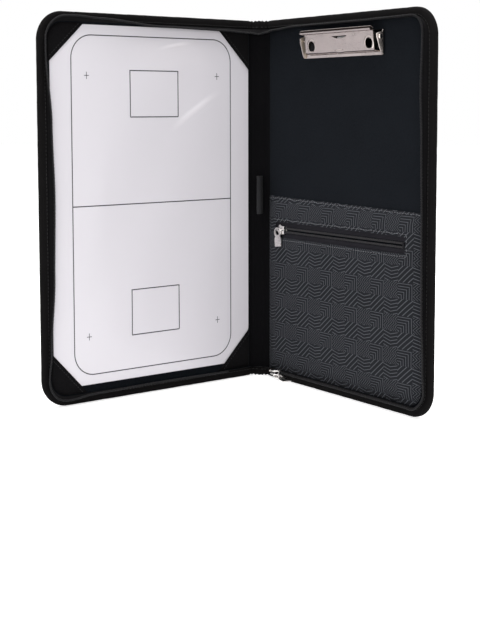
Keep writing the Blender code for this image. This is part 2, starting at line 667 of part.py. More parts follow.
def add_corner_pockets(cover, cloth):
    """Four fabric triangles, walled on their outer sides, that hold the sheet's corners."""
    over = 2 * GAP + SHEET_T
    top = over + POCKET_FABRIC_T
    fold = CORNER_POCKET_FOLD_SIDE
    edge = COVER_WIDTH - CORNER_POCKET_INSET
    low = CORNER_POCKET_INSET
    radius = CORNER_RADIUS - CORNER_POCKET_INSET
    wall = POCKET_FABRIC_T

    def flip(points, upside):
        if not upside:
            return points
        return [(u, FOLDER_HEIGHT - z) for u, z in points]

    for upside, level in ((False, "bottom"), (True, "top")):
        outer = [(edge, low + CORNER_POCKET_LEG), (edge - CORNER_POCKET_LEG, low)]
        outer += arc((edge - radius, low + radius), radius, -90, 0)
        inner = [(edge - CORNER_POCKET_LEG, low)] + arc((edge - radius, low + radius), radius, -90, 0)
        inner += [(edge, low + CORNER_POCKET_LEG), (edge - wall, low + CORNER_POCKET_LEG - wall)]
        inner += arc((edge - radius, low + radius), radius - wall, 0, -90)
        inner.append((edge - CORNER_POCKET_LEG + wall, low + wall))
        shape = (flip(outer, upside), flip(inner, upside), over, top)
        add_corner_pocket(cover, "corner_pocket_outer_" + level, *shape, cloth)

        outer = [(fold, low), (fold + CORNER_POCKET_LEG, low), (fold, low + CORNER_POCKET_LEG)]
        inner = [(fold, low), (fold + CORNER_POCKET_LEG, low), (fold + CORNER_POCKET_LEG - wall, low + wall)]
        inner += [(fold + wall, low + wall), (fold + wall, low + CORNER_POCKET_LEG - wall)]
        inner.append((fold, low + CORNER_POCKET_LEG))
        shape = (flip(outer, upside), flip(inner, upside), over, top)
        add_corner_pocket(cover, "corner_pocket_spine_" + level, *shape, cloth)


def add_corner_pocket(cover, name, face, wall, over, top, cloth):
    plate = cover_piece(cover, name, prism(face, over, top, 1), cloth)
    side = cover_piece(cover, name + "_wall", prism(wall, GAP, over + POCKET_FABRIC_T / 2, 1), cloth)
    boolean(plate, side, "UNION")


def add_tactics_sheet(cover, sheet):
    """Stiff white sheet that lies on the front lining."""
    inset = CORNER_POCKET_INSET + POCKET_FABRIC_T + SHEET_SLACK
    edge = COVER_WIDTH - inset
    radius = CORNER_RADIUS - inset
    top = FOLDER_HEIGHT - SHEET_TOP_INSET
    bottom = SHEET_BOTTOM_INSET
    outline = [(SHEET_FOLD_SIDE, bottom)]
    outline += arc((edge - radius, bottom + radius), radius, -90, 0)
    outline += arc((edge - radius, top - radius), radius, 0, 90)
    outline.append((SHEET_FOLD_SIDE, top))
    cover_piece(cover, "tactics_sheet", prism(outline, GAP, GAP + SHEET_T, 1), sheet)


def add_face_band(cover, name, material, start, width, thickness):
    """Flat woven strip sewn on the padded face, from the bottom binding to the top one."""
    near = BINDING_WIDTH + GAP
    insets = [near] + [level[0] for level in crown_levels(0)]
    centre = []
    for inset in insets:
        centre.append((inset, crown_surface(inset) - GAP - thickness / 2))
    centre += [(FOLDER_HEIGHT - inset, w) for inset, w in reversed(centre)]
    outline = [(w, z) for z, w in ribbon(centre, thickness)]
    cover_piece(cover, name, prism(outline, start, start + width, 0), material)


def lever_line():
    """Centre line (z, w) of the pressed lever: jaw, bend, flat plate and rolled edge."""
    jaw_w = CLIP_SEAT + GAP + LEVER_T / 2
    flat = (CLIP_BOTTOM + LEVER_BEND_UP + LEVER_BEND_RUN, CLIP_PIVOT[1] + LEVER_BEND_RISE)
    roll = (CLIP_BOTTOM + LEVER_ROLL_UP, CLIP_PIVOT[1] + LEVER_ROLL_RISE)
    line = [(CLIP_BOTTOM + LEVER_JAW_UP - LEVER_LIP_RUN, jaw_w)]
    line.append((CLIP_BOTTOM + LEVER_JAW_UP, jaw_w + LEVER_LIP_RISE))
    line.append((CLIP_BOTTOM + LEVER_BEND_UP, flat[1] - LEVER_BEND_DROP))
    line.append(flat)
    return line, flat, arc(roll, LEVER_ROLL_RADIUS, -100, 200, 16)


def lever_level(z):
    """Level of the middle of the lever's flat plate at a height."""
    _, flat, curl = lever_line()
    slope = (curl[0][1] - flat[1]) / (curl[0][0] - flat[0])
    return flat[1] + (z - flat[0]) * slope


def add_clip(cover, metal, wire):
    """Sprung paper clip: base plate with ears, rolled lever, rod, spring and rivets."""
    bore = [(w, z) for z, w in arc(CLIP_PIVOT, ROD_RADIUS + GAP, 0, 345, 23)]
    reach = CLIP_BASE_HALF + CLIP_PLATE_T
    bore_mesh = prism(bore, CLIP_U - reach, CLIP_U + reach, 0)
    bore_tool = cover_piece(cover, "clip_rod_bore", bore_mesh, metal)
    add_clip_base(cover, metal, bore_tool)
    for label, place in zip(("left", "right"), RIVET_PLACES):
        add_rivet(cover, "clip_rivet_" + label, metal, place)
    add_rod(cover, metal)
    add_spring(cover, wire)
    add_lever(cover, metal, bore_tool)


def add_clip_base(cover, metal, bore_tool):
    """Flat plate with an ear turned up at each end."""
    top = CLIP_BOTTOM + CLIP_BASE_HEIGHT
    left = CLIP_U - CLIP_BASE_HALF
    right = CLIP_U + CLIP_BASE_HALF
    plate = [(left, CLIP_BOTTOM), (right, CLIP_BOTTOM), (right, top), (left, top)]
    base = cover_piece(cover, "clip_base_plate", prism(plate, GAP, CLIP_SEAT, 1), metal)
    low_end = CLIP_BOTTOM + CLIP_EAR_MARGIN
    high_end = top - CLIP_EAR_MARGIN
    ear = [(GAP, high_end), (GAP, low_end), (CLIP_SEAT + CLIP_EAR_FOOT, low_end)]
    ear += [(w, z) for z, w in arc(CLIP_PIVOT, CLIP_EAR_RADIUS, 130, 50, 6)]
    ear.append((CLIP_SEAT + CLIP_EAR_FOOT, high_end))
    for label, low in (("left", left), ("right", right - CLIP_PLATE_T)):
        side = cover_piece(cover, "clip_ear_" + label, prism(ear, low, low + CLIP_PLATE_T, 0), metal)
        boolean(base, side, "UNION")
    boolean(base, bore_tool, "DIFFERENCE")
    for label, place in zip(("left", "right"), RIVET_PLACES):
        hole = prism(arc(place, RIVET_SHANK + GAP, 0, 337.5, 15), 0, CLIP_SEAT + GAP, 1)
        boolean(base, cover_piece(cover, "clip_rivet_hole_" + label, hole, metal), "DIFFERENCE")


def add_rivet(cover, name, metal, place):
    """Rivet from the board to the base plate, with a domed head; a turned profile."""
    u, z = place
    seat = CLIP_SEAT + GAP
    profile = [(RIVET_SHANK, BOARD_BOTTOM), (RIVET_SHANK, seat), (RIVET_HEAD, seat)]
    profile += [(RIVET_HEAD * wide, seat + RIVET_HEAD_HEIGHT * high) for wide, high in RIVET_DOME]
    rings = []
    for radius, w in profile:
        rings.append([(x, w, y) for x, y in arc((u, z), radius, 0, 337.5, 15)])
    cover_piece(cover, name, loft(rings), metal)


def add_rod(cover, metal):
    """Pivot rod with a peened head outside each ear."""
    half = CLIP_BASE_HALF + GAP
    stations = [(-half - ROD_HEAD_LENGTH, ROD_HEAD_RADIUS), (-half, ROD_HEAD_RADIUS), (-half, ROD_RADIUS)]
    stations += [(half, ROD_RADIUS), (half, ROD_HEAD_RADIUS), (half + ROD_HEAD_LENGTH, ROD_HEAD_RADIUS)]
    rings = []
    for x, radius in stations:
        rings.append([(CLIP_U + x, w, z) for z, w in arc(CLIP_PIVOT, radius, 0, 345, 23)])
    cover_piece(cover, "clip_pivot_rod", loft(rings), metal)


def least_gap(points, radius, spacing):
    """Smallest gap between stretches of one tube that are further apart along it than spacing."""
    path = [Vector(point) for point in points]
    least = math.inf
    for i, first in enumerate(path):
        for second in path[i + spacing:]:
            least = min(least, (first - second).length - 2 * radius)
    return least


def add_spring(cover, wire):
    """Torsion spring round the rod: one leg on the base plate, one under the lever."""
    points_per_turn = 10
    total = int(points_per_turn * (SPRING_TURNS + 0.5))
    length = SPRING_PITCH * total / points_per_turn
    start = CLIP_U - length / 2
    z0, w0 = CLIP_PIVOT
    radius = ROD_RADIUS + GAP + SPRING_WIRE
    leg_z = z0 - SPRING_LEG
    upper = lever_level(leg_z) - LEVER_T / 2 - GAP - SPRING_WIRE
    points = [(start, CLIP_SEAT + GAP + SPRING_WIRE, leg_z)]
    for step in range(total + 1):
        angle = math.radians(-90 + 360 * step / points_per_turn)
        x = start + length * step / total
        points.append((x, w0 + radius * math.sin(angle), z0 + radius * math.cos(angle)))
    points.append((start + length, upper, leg_z))
    print("clip spring: least gap %.2f mm" % (least_gap(points, SPRING_WIRE, points_per_turn // 2) / MM))
    cover_piece(cover, "clip_spring", tube(points, SPRING_WIRE, 6), wire, sharp_angle=80)


def on_lever(mesh):
    """Lay a mesh, made level with w = 0, on the middle of the slanted plate."""
    for vert in mesh.verts:
        vert.co.y += lever_level(vert.co.z)
    return mesh


def crescent(up, way):
    """Outline (u, z) of a flat-sided crescent, its bow below or above a height."""
    chord = CLIP_BOTTOM + up
    outline = []
    for x, y in arc((0, 0), 1, 0, 180, 10):
        outline.append((CLIP_U + x * LEVER_MARK_HALF, chord + way * y * LEVER_MARK_SAG))
    return outline


def add_lever(cover, metal, bore_tool):
    """Pressed lever: rolled finger edge, flat plate, bent jaw and a flange at each end."""
    origin = (CLIP_U, CLIP_PIVOT[1], CLIP_PIVOT[0])
    line, flat, curl = lever_line()
    outline = [(w, z) for z, w in ribbon(line + curl, LEVER_T)]
    strip = prism(outline, CLIP_U - LEVER_HALF, CLIP_U + LEVER_HALF, 0)
    lever = cover_piece(cover, "clip_lever", strip, metal, origin)
    radius = CLIP_PIVOT_RISE - 2 * GAP
    first = flat[0] + LEVER_FLANGE_START
    last = CLIP_PIVOT[0] + LEVER_FLANGE_PAST
    flange = [(first, lever_level(first)), (last, lever_level(last))] + arc(CLIP_PIVOT, radius, 0, -180, 8)
    flange_outline = [(w, z) for z, w in flange]
    for label, low in (("left", CLIP_U - LEVER_HALF), ("right", CLIP_U + LEVER_HALF - LEVER_T)):
        mesh = prism(flange_outline, low, low + LEVER_T, 0)
        boolean(lever, cover_piece(cover, "clip_lever_flange_" + label, mesh, metal, origin), "UNION")
    boolean(lever, bore_tool, "DIFFERENCE")
    for label, (u, z) in zip(("left", "right"), RIVET_PLACES):
        oval = []
        for x, y in arc((0, 0), 0.5, 0, 342, 19):
            oval.append((u + x * LEVER_WINDOW_WIDTH, z + y * LEVER_WINDOW_HEIGHT))
        mesh = on_lever(prism(oval, -2 * LEVER_T, 2 * LEVER_T, 1))
        boolean(lever, cover_piece(cover, "clip_lever_window_" + label, mesh, metal, origin), "DIFFERENCE")
    groove = on_lever(prism(crescent(LEVER_MARK_TOP_UP, -1), LEVER_T / 2 - LEVER_MARK_DEPTH, LEVER_T, 1))
    boolean(lever, cover_piece(cover, "clip_lever_groove", groove, metal, origin), "DIFFERENCE")
    ridge = on_lever(prism(crescent(LEVER_MARK_LOW_UP, 1), 0, LEVER_T / 2 + LEVER_MARK_DEPTH, 1))
    boolean(lever, cover_piece(cover, "clip_lever_ridge", ridge, metal, origin), "UNION")


def add_spine(spine, cloth, foam, lining, binding, elastic):
    """Fabric, foam and lining of the spine, bound at both ends, with the pen loop."""
    half = SPINE_WIDTH / 2 - SPINE_MARGIN
    levels = [(EDGE_INSET, FLANGE_BOTTOM)] + [(level[0], level[2]) for level in crown_levels(0)]
    outer = levels + [(FOLDER_HEIGHT - inset, w) for inset, w in reversed(levels)]
    back = [(EDGE_INSET, FLANGE_TOP)] + [(level[0], level[2]) for level in crown_levels(FABRIC_T)]
    inner = back + [(FOLDER_HEIGHT - inset, w) for inset, w in reversed(back)]
    outline = [(w, z) for z, w in outer + list(reversed(inner))]
    spine_piece(spine, "spine_outer_fabric", prism(outline, -half, half, 0), cloth)

    depth = FABRIC_T + GAP
    pad = [(crown_inset(depth, FLANGE_TOP - GAP), FLANGE_TOP - GAP)]
    pad += [(level[0], level[2]) for level in crown_levels(depth) if level[2] < FLANGE_TOP - 2 * GAP]
    pad += [(FOLDER_HEIGHT - inset, w) for inset, w in reversed(pad)]
    spine_piece(spine, "spine_foam", prism([(w, z) for z, w in pad], -half, half, 0), foam)

    bottom = EDGE_INSET
    top = FOLDER_HEIGHT - EDGE_INSET
    sheet = [(LINING_BACK, bottom), (0, bottom), (0, top), (LINING_BACK, top)]
    spine_piece(spine, "spine_lining", prism(sheet, -half, half, 0), lining)

    profile = binding_profile(2 * GAP + TAPE_T, FLANGE_BOTTOM - GAP)
    spine_piece(spine, "spine_binding_bottom", prism([(w, t) for t, w in profile], -half, half, 0), binding)
    capped = [(w, FOLDER_HEIGHT - t) for t, w in profile]
    spine_piece(spine, "spine_binding_top", prism(capped, -half, half, 0), binding)

    spine_piece(spine, "pen_loop", pen_loop_mesh(), elastic, sharp_angle=60)
    add_fold_strips(spine, cloth, lining)


def pen_loop_mesh():
    """Elastic loop, a flattened ring that stands out from the spine lining."""
    def ring(shrink, z):
        radius = PEN_LOOP_WIDTH / 2 - shrink
        near = GAP + PEN_LOOP_WIDTH / 2
        far = GAP + PEN_LOOP_DEPTH - PEN_LOOP_WIDTH / 2
        points = arc((PEN_LOOP_X, near), radius, 180, 360, 8) + arc((PEN_LOOP_X, far), radius, 0, 180, 8)
        return [(x, w, z) for x, w in points]
    middle = FOLDER_HEIGHT / 2 + PEN_LOOP_ABOVE_MIDDLE
    bottom = middle - PEN_LOOP_HEIGHT / 2
    top = middle + PEN_LOOP_HEIGHT / 2
    rings = [ring(0, bottom), ring(0, top), ring(PEN_LOOP_T, top), ring(PEN_LOOP_T, bottom)]
    return loft(rings, closed=True)


def fold_section(level, thickness, bulge):
    """Cross-section (x, w) of a strip that bridges the fold, its outer side at a level."""
    reach = GAP + thickness / 2
    start = Vector((SPINE_WIDTH / 2 - SPINE_MARGIN + reach, level + thickness / 2))
    cosine = math.cos(HALF_TURN)
    sine = math.sin(HALF_TURN)
    u = FOLD_START - reach
    w = level + thickness / 2
    end = Vector((SPINE_WIDTH / 2 + u * cosine - w * sine, u * sine + w * cosine))
    chord = end - start
    normal = Vector((-chord.y, chord.x)).normalized()
    if normal.y > 0:
        normal = -normal
    steps = 6
    centre = []
    for step in range(steps + 1):
        share = step / steps
        centre.append(tuple(start + chord * share + normal * bulge * math.sin(math.pi * share)))
    return ribbon(centre, thickness)


def add_fold_strips(spine, cloth, lining):
    """Outer fabric and lining that bend round each fold, between the spine and a cover."""
    bound = FLANGE_BOTTOM - GAP - BINDING_T
    levels = [(EDGE_INSET, bound), (BINDING_WIDTH, bound)]
    levels += [(level[0], level[2]) for level in crown_levels(0) if level[2] < bound]
    stations = levels + [(FOLDER_HEIGHT - inset, w) for inset, w in reversed(levels)]
    inside = [(EDGE_INSET, LINING_BACK), (FOLDER_HEIGHT - EDGE_INSET, LINING_BACK)]
    for name, way in (("back", 1), ("front", -1)):
        rings = []
        for z, level in stations:
            rings.append([(way * x, w, z) for x, w in fold_section(level, FABRIC_T, FOLD_STRIP_BULGE)])
        spine_piece(spine, name + "_fold_fabric", loft(rings), cloth)
        rings = []
        for z, level in inside:
            rings.append([(way * x, w, z) for x, w in fold_section(level, FOLD_LINING_T, 0)])
        spine_piece(spine, name + "_fold_lining", loft(rings), lining)


def add_zip_tail(spine, name, tape, coil, upside):
    """Tape and coil that cross the spine at one end of the zip and join the covers' tapes."""
    centre = COIL_LEVEL - TAIL_DROP
    low = ZIP_INSET - TAPE_T / 2
    high = ZIP_INSET + TAPE_T / 2
    top = centre - COIL_RADIUS - GAP
    profile = [(GAP, TAPE_HIDDEN), (GAP, high), (top, high), (top, low)]
    profile += [(GAP + TAPE_T, low), (GAP + TAPE_T, TAPE_HIDDEN)]
    section = arc((centre, ZIP_INSET), COIL_RADIUS, 0, 360 - 360 / COIL_SIDES, COIL_SIDES - 1)
    if upside:
        profile = [(w, FOLDER_HEIGHT - t) for w, t in profile]
        section = [(w, FOLDER_HEIGHT - t) for w, t in section]
    spine_piece(spine, "spine_zip_tape_" + name, prism(profile, -TAIL_HALF, TAIL_HALF, 0), tape)
    tail = prism(section, -TAIL_COIL_HALF, TAIL_COIL_HALF, 0)
    spine_piece(spine, "spine_zip_coil_" + name, tail, coil, sharp_angle=60)


def centre_on_base(roots):
    """Slide the whole folder so that its box is centred over the origin."""
    bpy.context.view_layer.update()
    graph = bpy.context.evaluated_depsgraph_get()
    low = [math.inf] * 3
    high = [-math.inf] * 3
    for obj in bpy.data.objects:
        if obj.type != "MESH" or obj.hide_render:
            continue
        shape = obj.evaluated_get(graph)
        for corner in shape.data.vertices:
            point = obj.matrix_world @ corner.co
            for axis in range(3):
                low[axis] = min(low[axis], point[axis])
                high[axis] = max(high[axis], point[axis])
    shift = Vector((-(low[0] + high[0]) / 2, -(low[1] + high[1]) / 2, -low[2]))
    for root in roots:
        root.location += shift
    bpy.context.view_layer.update()


def build():
    clear_scene()
    cloth = make_material("woven_fabric", (0.016, 0.016, 0.019), 0.85)
    lining = make_material("lining_fabric", (0.012, 0.016, 0.020), 0.8)
    binding = make_material("grosgrain_binding", (0.012, 0.012, 0.014), 0.7)
    foam = make_material("foam", (0.35, 0.35, 0.36), 0.95)
    board = make_material("grey_board", (0.32, 0.29, 0.25), 0.9)
    tape = make_material("zip_tape", (0.012, 0.012, 0.013), 0.8)
    coil = make_material("zip_coil", (0.02, 0.02, 0.022), 0.45)
    band = make_material("woven_band", (0.010, 0.010, 0.013), 0.7)
    print_cloth = make_material("printed_pocket_fabric", (0.05, 0.05, 0.06), 0.75)
    pocket_cloth = make_material("corner_pocket_fabric", (0.014, 0.014, 0.016), 0.8)
    sheet = make_material("white_sheet", (0.86, 0.86, 0.87), 0.25)
    elastic = make_material("elastic", (0.02, 0.02, 0.022), 0.8)
    nickel = make_material("nickel", (0.62, 0.58, 0.56), 0.28, 1.0)
    wire = make_material("spring_steel", (0.45, 0.45, 0.46), 0.35, 1.0)

    spine = bpy.data.objects.new("spine_frame", None)
    bpy.context.collection.objects.link(spine)
    front = Cover("front", 1, 0)
    back = Cover("back", -1, 0)

    add_spine(spine, cloth, foam, lining, binding, elastic)
    add_zip_tail(spine, "bottom", tape, coil, False)
    add_zip_tail(spine, "top", tape, coil, True)

    add_cover_layers(front, cloth, foam, board, lining, binding, [])
    add_cover_zip(front, tape, coil, FRONT_COIL_START)
    add_face_band(front, "front_woven_band", band, BAND_START, BAND_WIDTH, BAND_T)
    add_face_band(front, "front_trim_strip", cloth, BAND_START + BAND_WIDTH + GAP, TRIM_WIDTH, TRIM_T)
    add_tactics_sheet(front, sheet)
    add_corner_pockets(front, pocket_cloth)

    rivets = [(u, z, RIVET_SHANK + GAP) for u, z in RIVET_PLACES]
    add_cover_layers(back, cloth, foam, board, lining, binding, rivets)
    add_cover_zip(back, tape, coil, BACK_COIL_START)
    add_pocket(back, print_cloth, tape, coil, nickel)
    add_clip(back, nickel, wire)
    add_main_zip_slider(back, nickel)
    add_zip_stop(back, "main_zip_stop", nickel, BACK_COIL_START - STOP_LENGTH - GAP, ZIP_INSET)

    centre_on_base([spine, front.axis, back.axis])


build()
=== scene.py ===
import math

import bmesh
import bpy
import numpy as np
from mathutils import Matrix, Vector
from mathutils.bvhtree import BVHTree


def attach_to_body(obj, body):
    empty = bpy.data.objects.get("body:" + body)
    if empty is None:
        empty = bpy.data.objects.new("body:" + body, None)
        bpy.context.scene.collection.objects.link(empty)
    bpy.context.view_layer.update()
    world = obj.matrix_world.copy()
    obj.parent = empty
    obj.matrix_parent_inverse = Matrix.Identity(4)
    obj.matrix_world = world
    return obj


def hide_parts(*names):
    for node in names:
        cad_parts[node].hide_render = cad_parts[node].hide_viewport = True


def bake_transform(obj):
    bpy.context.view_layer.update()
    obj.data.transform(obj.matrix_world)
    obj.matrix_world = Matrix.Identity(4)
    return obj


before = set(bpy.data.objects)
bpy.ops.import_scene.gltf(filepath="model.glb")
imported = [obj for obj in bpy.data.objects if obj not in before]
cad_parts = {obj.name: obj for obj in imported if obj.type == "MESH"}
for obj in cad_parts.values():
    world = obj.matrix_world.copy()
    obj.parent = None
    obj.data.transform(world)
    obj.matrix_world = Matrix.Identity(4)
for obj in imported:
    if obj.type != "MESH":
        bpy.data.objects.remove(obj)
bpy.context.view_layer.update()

MM = 0.001

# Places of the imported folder, in metres
HEIGHT = 357 * MM
WIDTH = 244 * MM                 # a cover, from its fold line
FOLD_AT = 9 * MM                 # the fold line, from the middle of the spine
SPINE_Y = 87.152 * MM
CORNER = 26 * MM
HALF_TURN = math.radians(47.5)
FOLD_REACH = 5 * MM              # cloth bends this far on both sides of a fold line
REACH = FOLD_AT + WIDTH          # middle of the spine to the fore-edge, laid flat

# Camera fitted to the photograph
CAMERA_AT = (0.1716, -1.2166, 0.2707)
CAMERA_YAW = math.radians(8.36)
CAMERA_PITCH = math.radians(-5.32)
CAMERA_ROLL = math.radians(-0.09)
CAMERA_LENS = 73.70
CAMERA_SHIFT = -90 / 640         # the folder stands above the middle of the frame


def smooth(x):
    x = np.clip(x, 0.0, 1.0)
    return x * x * (3 - 2 * x)


def hill(x, centre, width):
    """Bell curve, 1 at its centre."""
    return np.exp(-((x - centre) / width) ** 2)


def ripple(x, *waves):
    """Sum of sine waves (amplitude and wavelength in mm, phase)."""
    x = np.asarray(x, float)
    return sum(size * MM * np.sin(2 * math.pi * x / (length * MM) + phase) for size, length, phase in waves)


def ease(x, marks):
    """Smooth curve through (x, value) marks, level at each of them."""
    xs, ys = np.array(marks).T
    x = np.asarray(x, float)
    i = np.clip(np.searchsorted(xs, x) - 1, 0, len(xs) - 2)
    return ys[i] + (ys[i + 1] - ys[i]) * smooth((x - xs[i]) / (xs[i + 1] - xs[i]))


def unit(v):
    return v / np.maximum(np.linalg.norm(v, axis=-1, keepdims=True), 1e-12)


def running(path):
    """Length along a chain of points."""
    return np.concatenate([[0], np.cumsum(np.linalg.norm(np.diff(path, axis=0), axis=1))])


def resample(path, values, marks):
    """Values [n, k] given at a chain of points, at given lengths along it."""
    lengths = running(path)
    return np.stack([np.interp(marks, lengths, column) for column in values.T], -1)


def lattice(first, second):
    """Grid of pairs from two lists."""
    return np.stack(np.meshgrid(first, second, indexing="ij"), -1)


class Half:
    """A cover with its half of the spine, laid flat as (s, w, z): s from the spine's middle, w inwards."""

    def __init__(self, name, side):
        self.name = name
        self.side = side
        self.body = name + "_cover"

    def place(self, s, w, z):
        """Where a point of the laid-out half is once the folder stands open."""
        s, w, z = (np.asarray(a, float) for a in np.broadcast_arrays(s, w, z))
        run = s - FOLD_AT
        turn = HALF_TURN * smooth((run + FOLD_REACH) / (2 * FOLD_REACH))
        x = self.side * (-FOLD_AT - run * np.cos(turn) + w * np.sin(turn))
        y = SPINE_Y - run * np.sin(turn) - w * np.cos(turn)
        return np.stack([x, y, z], -1)

    def cover(self, u, w, z):
        """The same for a point of the cover, with u from the fold line."""
        return self.place(np.asarray(u) + FOLD_AT, w, z)

    def inward(self):
        """Direction of w on the cover."""
        return self.cover(WIDTH / 2, 1.0, 0.0) - self.cover(WIDTH / 2, 0.0, 0.0)

    def nodes(self, kinds, spine):
        """CAD nodes that a piece stands for; the front half's piece also stands for the spine's."""
        own = ["%s_%s" % (self.name, kind) for kind in kinds]
        return own + ["spine_" + kind for kind in spine if self is FRONT]


FRONT = Half("front", 1)
BACK = Half("back", -1)
UP = np.array([0.0, 0.0, 1.0])


def attach(obj, body, *nodes):
    """Put a piece in place of CAD nodes, on a body; a piece of a Half only has its transform baked in."""
    if nodes:
        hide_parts(*nodes)
    if isinstance(body, Half):
        start, end = (tuple(body.place(FOLD_AT + way * FOLD_REACH, 0, 0)) for way in (-1, 1))
        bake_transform(obj)
        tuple(start)
        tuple(end)
    else:
        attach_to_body(obj, body)


# The rim of a laid-out half: along the bottom, up the fore-edge and back along the top
STRAIGHT = REACH - CORNER
QUARTER = CORNER * math.pi / 2
SIDE_RUN = HEIGHT - 2 * CORNER
RIM = 2 * STRAIGHT + 2 * QUARTER + SIDE_RUN


def rim_at(length):
    """s, z and the outward normal (ns, nz) of the rim at a length from the spine's bottom."""
    length = np.asarray(length, float)
    rest = length - STRAIGHT
    first = np.clip(rest / QUARTER, 0, 1)
    side = np.clip(rest - QUARTER, 0, SIDE_RUN)
    second = np.clip((rest - QUARTER - SIDE_RUN) / QUARTER, 0, 1)
    back = np.clip(rest - 2 * QUARTER - SIDE_RUN, 0, STRAIGHT)
    angle = (first + second) * math.pi / 2
    s = np.clip(length, 0, STRAIGHT) + CORNER * np.sin(angle) - back
    z = CORNER * (1 - np.cos(angle)) + side
    return s, z, np.sin(angle), -np.cos(angle)


def on_rim(half, lengths, t, w):
    """Points at insets t and levels w, for every station along the rim."""
    s, z, ns, nz = (a[:, None] for a in rim_at(lengths))
    return half.place(s - ns * t, w, z - nz * t)


def rim_distance(s, z):
    """Inset of a point of a half from its rim."""
    ds = REACH - np.asarray(s, float)
    dz = np.minimum(z, HEIGHT - z)
    corner = CORNER - np.hypot(CORNER - ds, CORNER - dz)
    return np.where((ds < CORNER) & (dz < CORNER), corner, np.minimum(ds, dz))


def stations(start, end, step):
    """Lengths along the rim, closer together where it bends over the fold line."""
    marks = [start]
    while marks[-1] < end:
        s = float(rim_at(marks[-1])[0])
        marks.append(marks[-1] + (step / 3 if s < FOLD_AT + 2 * FOLD_REACH else step))
    marks[-1] = end
    return np.array(marks)


def corner_drop(u, far, radius):
    """How far an edge draws in where a rounded corner ends at far."""
    return radius - np.sqrt(np.maximum(radius ** 2 - np.maximum(u - far + radius, 0) ** 2, 0))


def corner_columns(far, radius, count):
    """Places across a rounded corner that ends at far, closer together towards it."""
    return far - radius + radius * np.sin(np.linspace(0, math.pi / 2, count))


# Meshes: a part is (vertices, faces, UV corners)
def grid_faces(n, m, wrap=False):
    index = np.arange(n * m).reshape(n, m)
    if wrap:
        index = np.concatenate([index, index[:, :1]], 1)
    return np.stack([index[:-1, :-1], index[1:, :-1], index[1:, 1:], index[:-1, 1:]], -1).reshape(-1, 4)


def grid_quads(points, uv, wrap=False):
    """Part from a grid of points [n, m, 3]; uv has one more column if it wraps."""
    corners = np.stack([uv[:-1, :-1], uv[1:, :-1], uv[1:, 1:], uv[:-1, 1:]], -2)
    return points.reshape(-1, 3), grid_faces(*points.shape[:2], wrap), corners.reshape(-1, 2)


def kept_part(points, uv, keep):
    """Part from the kept faces of a grid, and the grid points that they use."""
    verts, faces, corners = grid_quads(points, uv)
    used = np.unique(faces[keep])
    number = np.full(len(verts), -1)
    number[used] = np.arange(len(used))
    return (verts[used], number[faces[keep]], corners.reshape(-1, 4, 2)[keep].reshape(-1, 2)), used


def join_parts(parts):
    verts, faces, corners = zip(*parts)
    bases = np.cumsum([0] + [len(v) for v in verts])
    faces = [part + base for part, base in zip(faces, bases)]
    return tuple(np.concatenate(group) for group in (verts, faces, corners))


def make_piece(name, part, material, caps=(), angle=50, slot=None):
    verts, faces, corners = part
    mesh = bpy.data.meshes.new(name)
    mesh.from_pydata(verts.tolist(), [], faces.tolist() + [list(c) for c in caps])
    layer = mesh.uv_layers.new(name="UVMap")
    uv = np.zeros((len(mesh.loops), 2))
    uv[:len(corners)] = corners
    layer.data.foreach_set("uv", uv.ravel())
    mesh.materials.append(material)
    obj = bpy.data.objects.new(name, mesh)
    bpy.context.scene.collection.objects.link(obj)
    tidy_mesh(obj, angle)
    return obj


def tube_piece(name, tubes, material, angle=50, slot=None):
    """Piece from closed tubes (rings [n, m, 3], lengths [n], ways round [m + 1])."""
    parts, caps, base = [], [], 0
    for rings, lengths, around in tubes:
        n, m = rings.shape[:2]
        parts.append(grid_quads(rings, lattice(lengths, around), wrap=True))
        caps += [range(base + m - 1, base - 1, -1), range(base + (n - 1) * m, base + n * m)]
        base += n * m
    return make_piece(name, join_parts(parts), material, caps, angle, slot)


def solid_piece(name, tubes, material, angle):
    """Metal piece from the rings of closed tubes."""
    tubes = [(rings, running(rings[:, 0]), np.arange(rings.shape[1] + 1) * 0.5 * MM) for rings in tubes]
    return tube_piece(name, tubes, material, angle, "nickel")


def tidy_mesh(obj, angle):
    """Faces outwards and smooth, edges sharper than an angle kept sharp."""
    work = bmesh.new()
    work.from_mesh(obj.data)
    bmesh.ops.recalc_face_normals(work, faces=work.faces)
    work.to_mesh(obj.data)
    work.free()
    obj.data.shade_smooth()
    obj.data.set_sharp_from_angle(angle=math.radians(angle))


def modify(obj, kind, **settings):
    """Add a modifier and apply it."""
    modifier = obj.modifiers.new(kind, kind)
    for key, value in settings.items():
        setattr(modifier, key, value)
    graph = bpy.context.evaluated_depsgraph_get()
    graph.update()
    mesh = bpy.data.meshes.new_from_object(obj.evaluated_get(graph), depsgraph=graph)
    obj.modifiers.clear()
    obj.data = mesh


def thicken(obj, thickness, side=-1, angle=50):
    """Give a sheet its thickness; side is 1 towards its normals, -1 away from them, 0 both."""
    modify(obj, "SOLIDIFY", thickness=thickness, offset=side, use_even_offset=False)
    tidy_mesh(obj, angle)


def refine(obj):
    modify(obj, "SUBSURF", levels=1, render_levels=1, boundary_smooth="PRESERVE_CORNERS")


def break_edges(obj, width, limit=55, angle=40):
    """Round the edges of a metal piece that are sharper than a limit."""
    modify(obj, "BEVEL", width=width, segments=2, limit_method="ANGLE", angle_limit=math.radians(limit))
    tidy_mesh(obj, angle)


def face_towards(obj, direction):
    """Turn a sheet's faces so that most look along a direction."""
    direction = Vector(direction)
    if sum(face.normal.dot(direction) * face.area for face in obj.data.polygons) < 0:
        obj.data.flip_normals()


def face_out(obj):
    """Turn an open tube's faces away from its middle."""
    middle = sum((v.co for v in obj.data.vertices), Vector()) / len(obj.data.vertices)
    if sum(face.normal.dot(face.center - middle) * face.area for face in obj.data.polygons) < 0:
        obj.data.flip_normals()


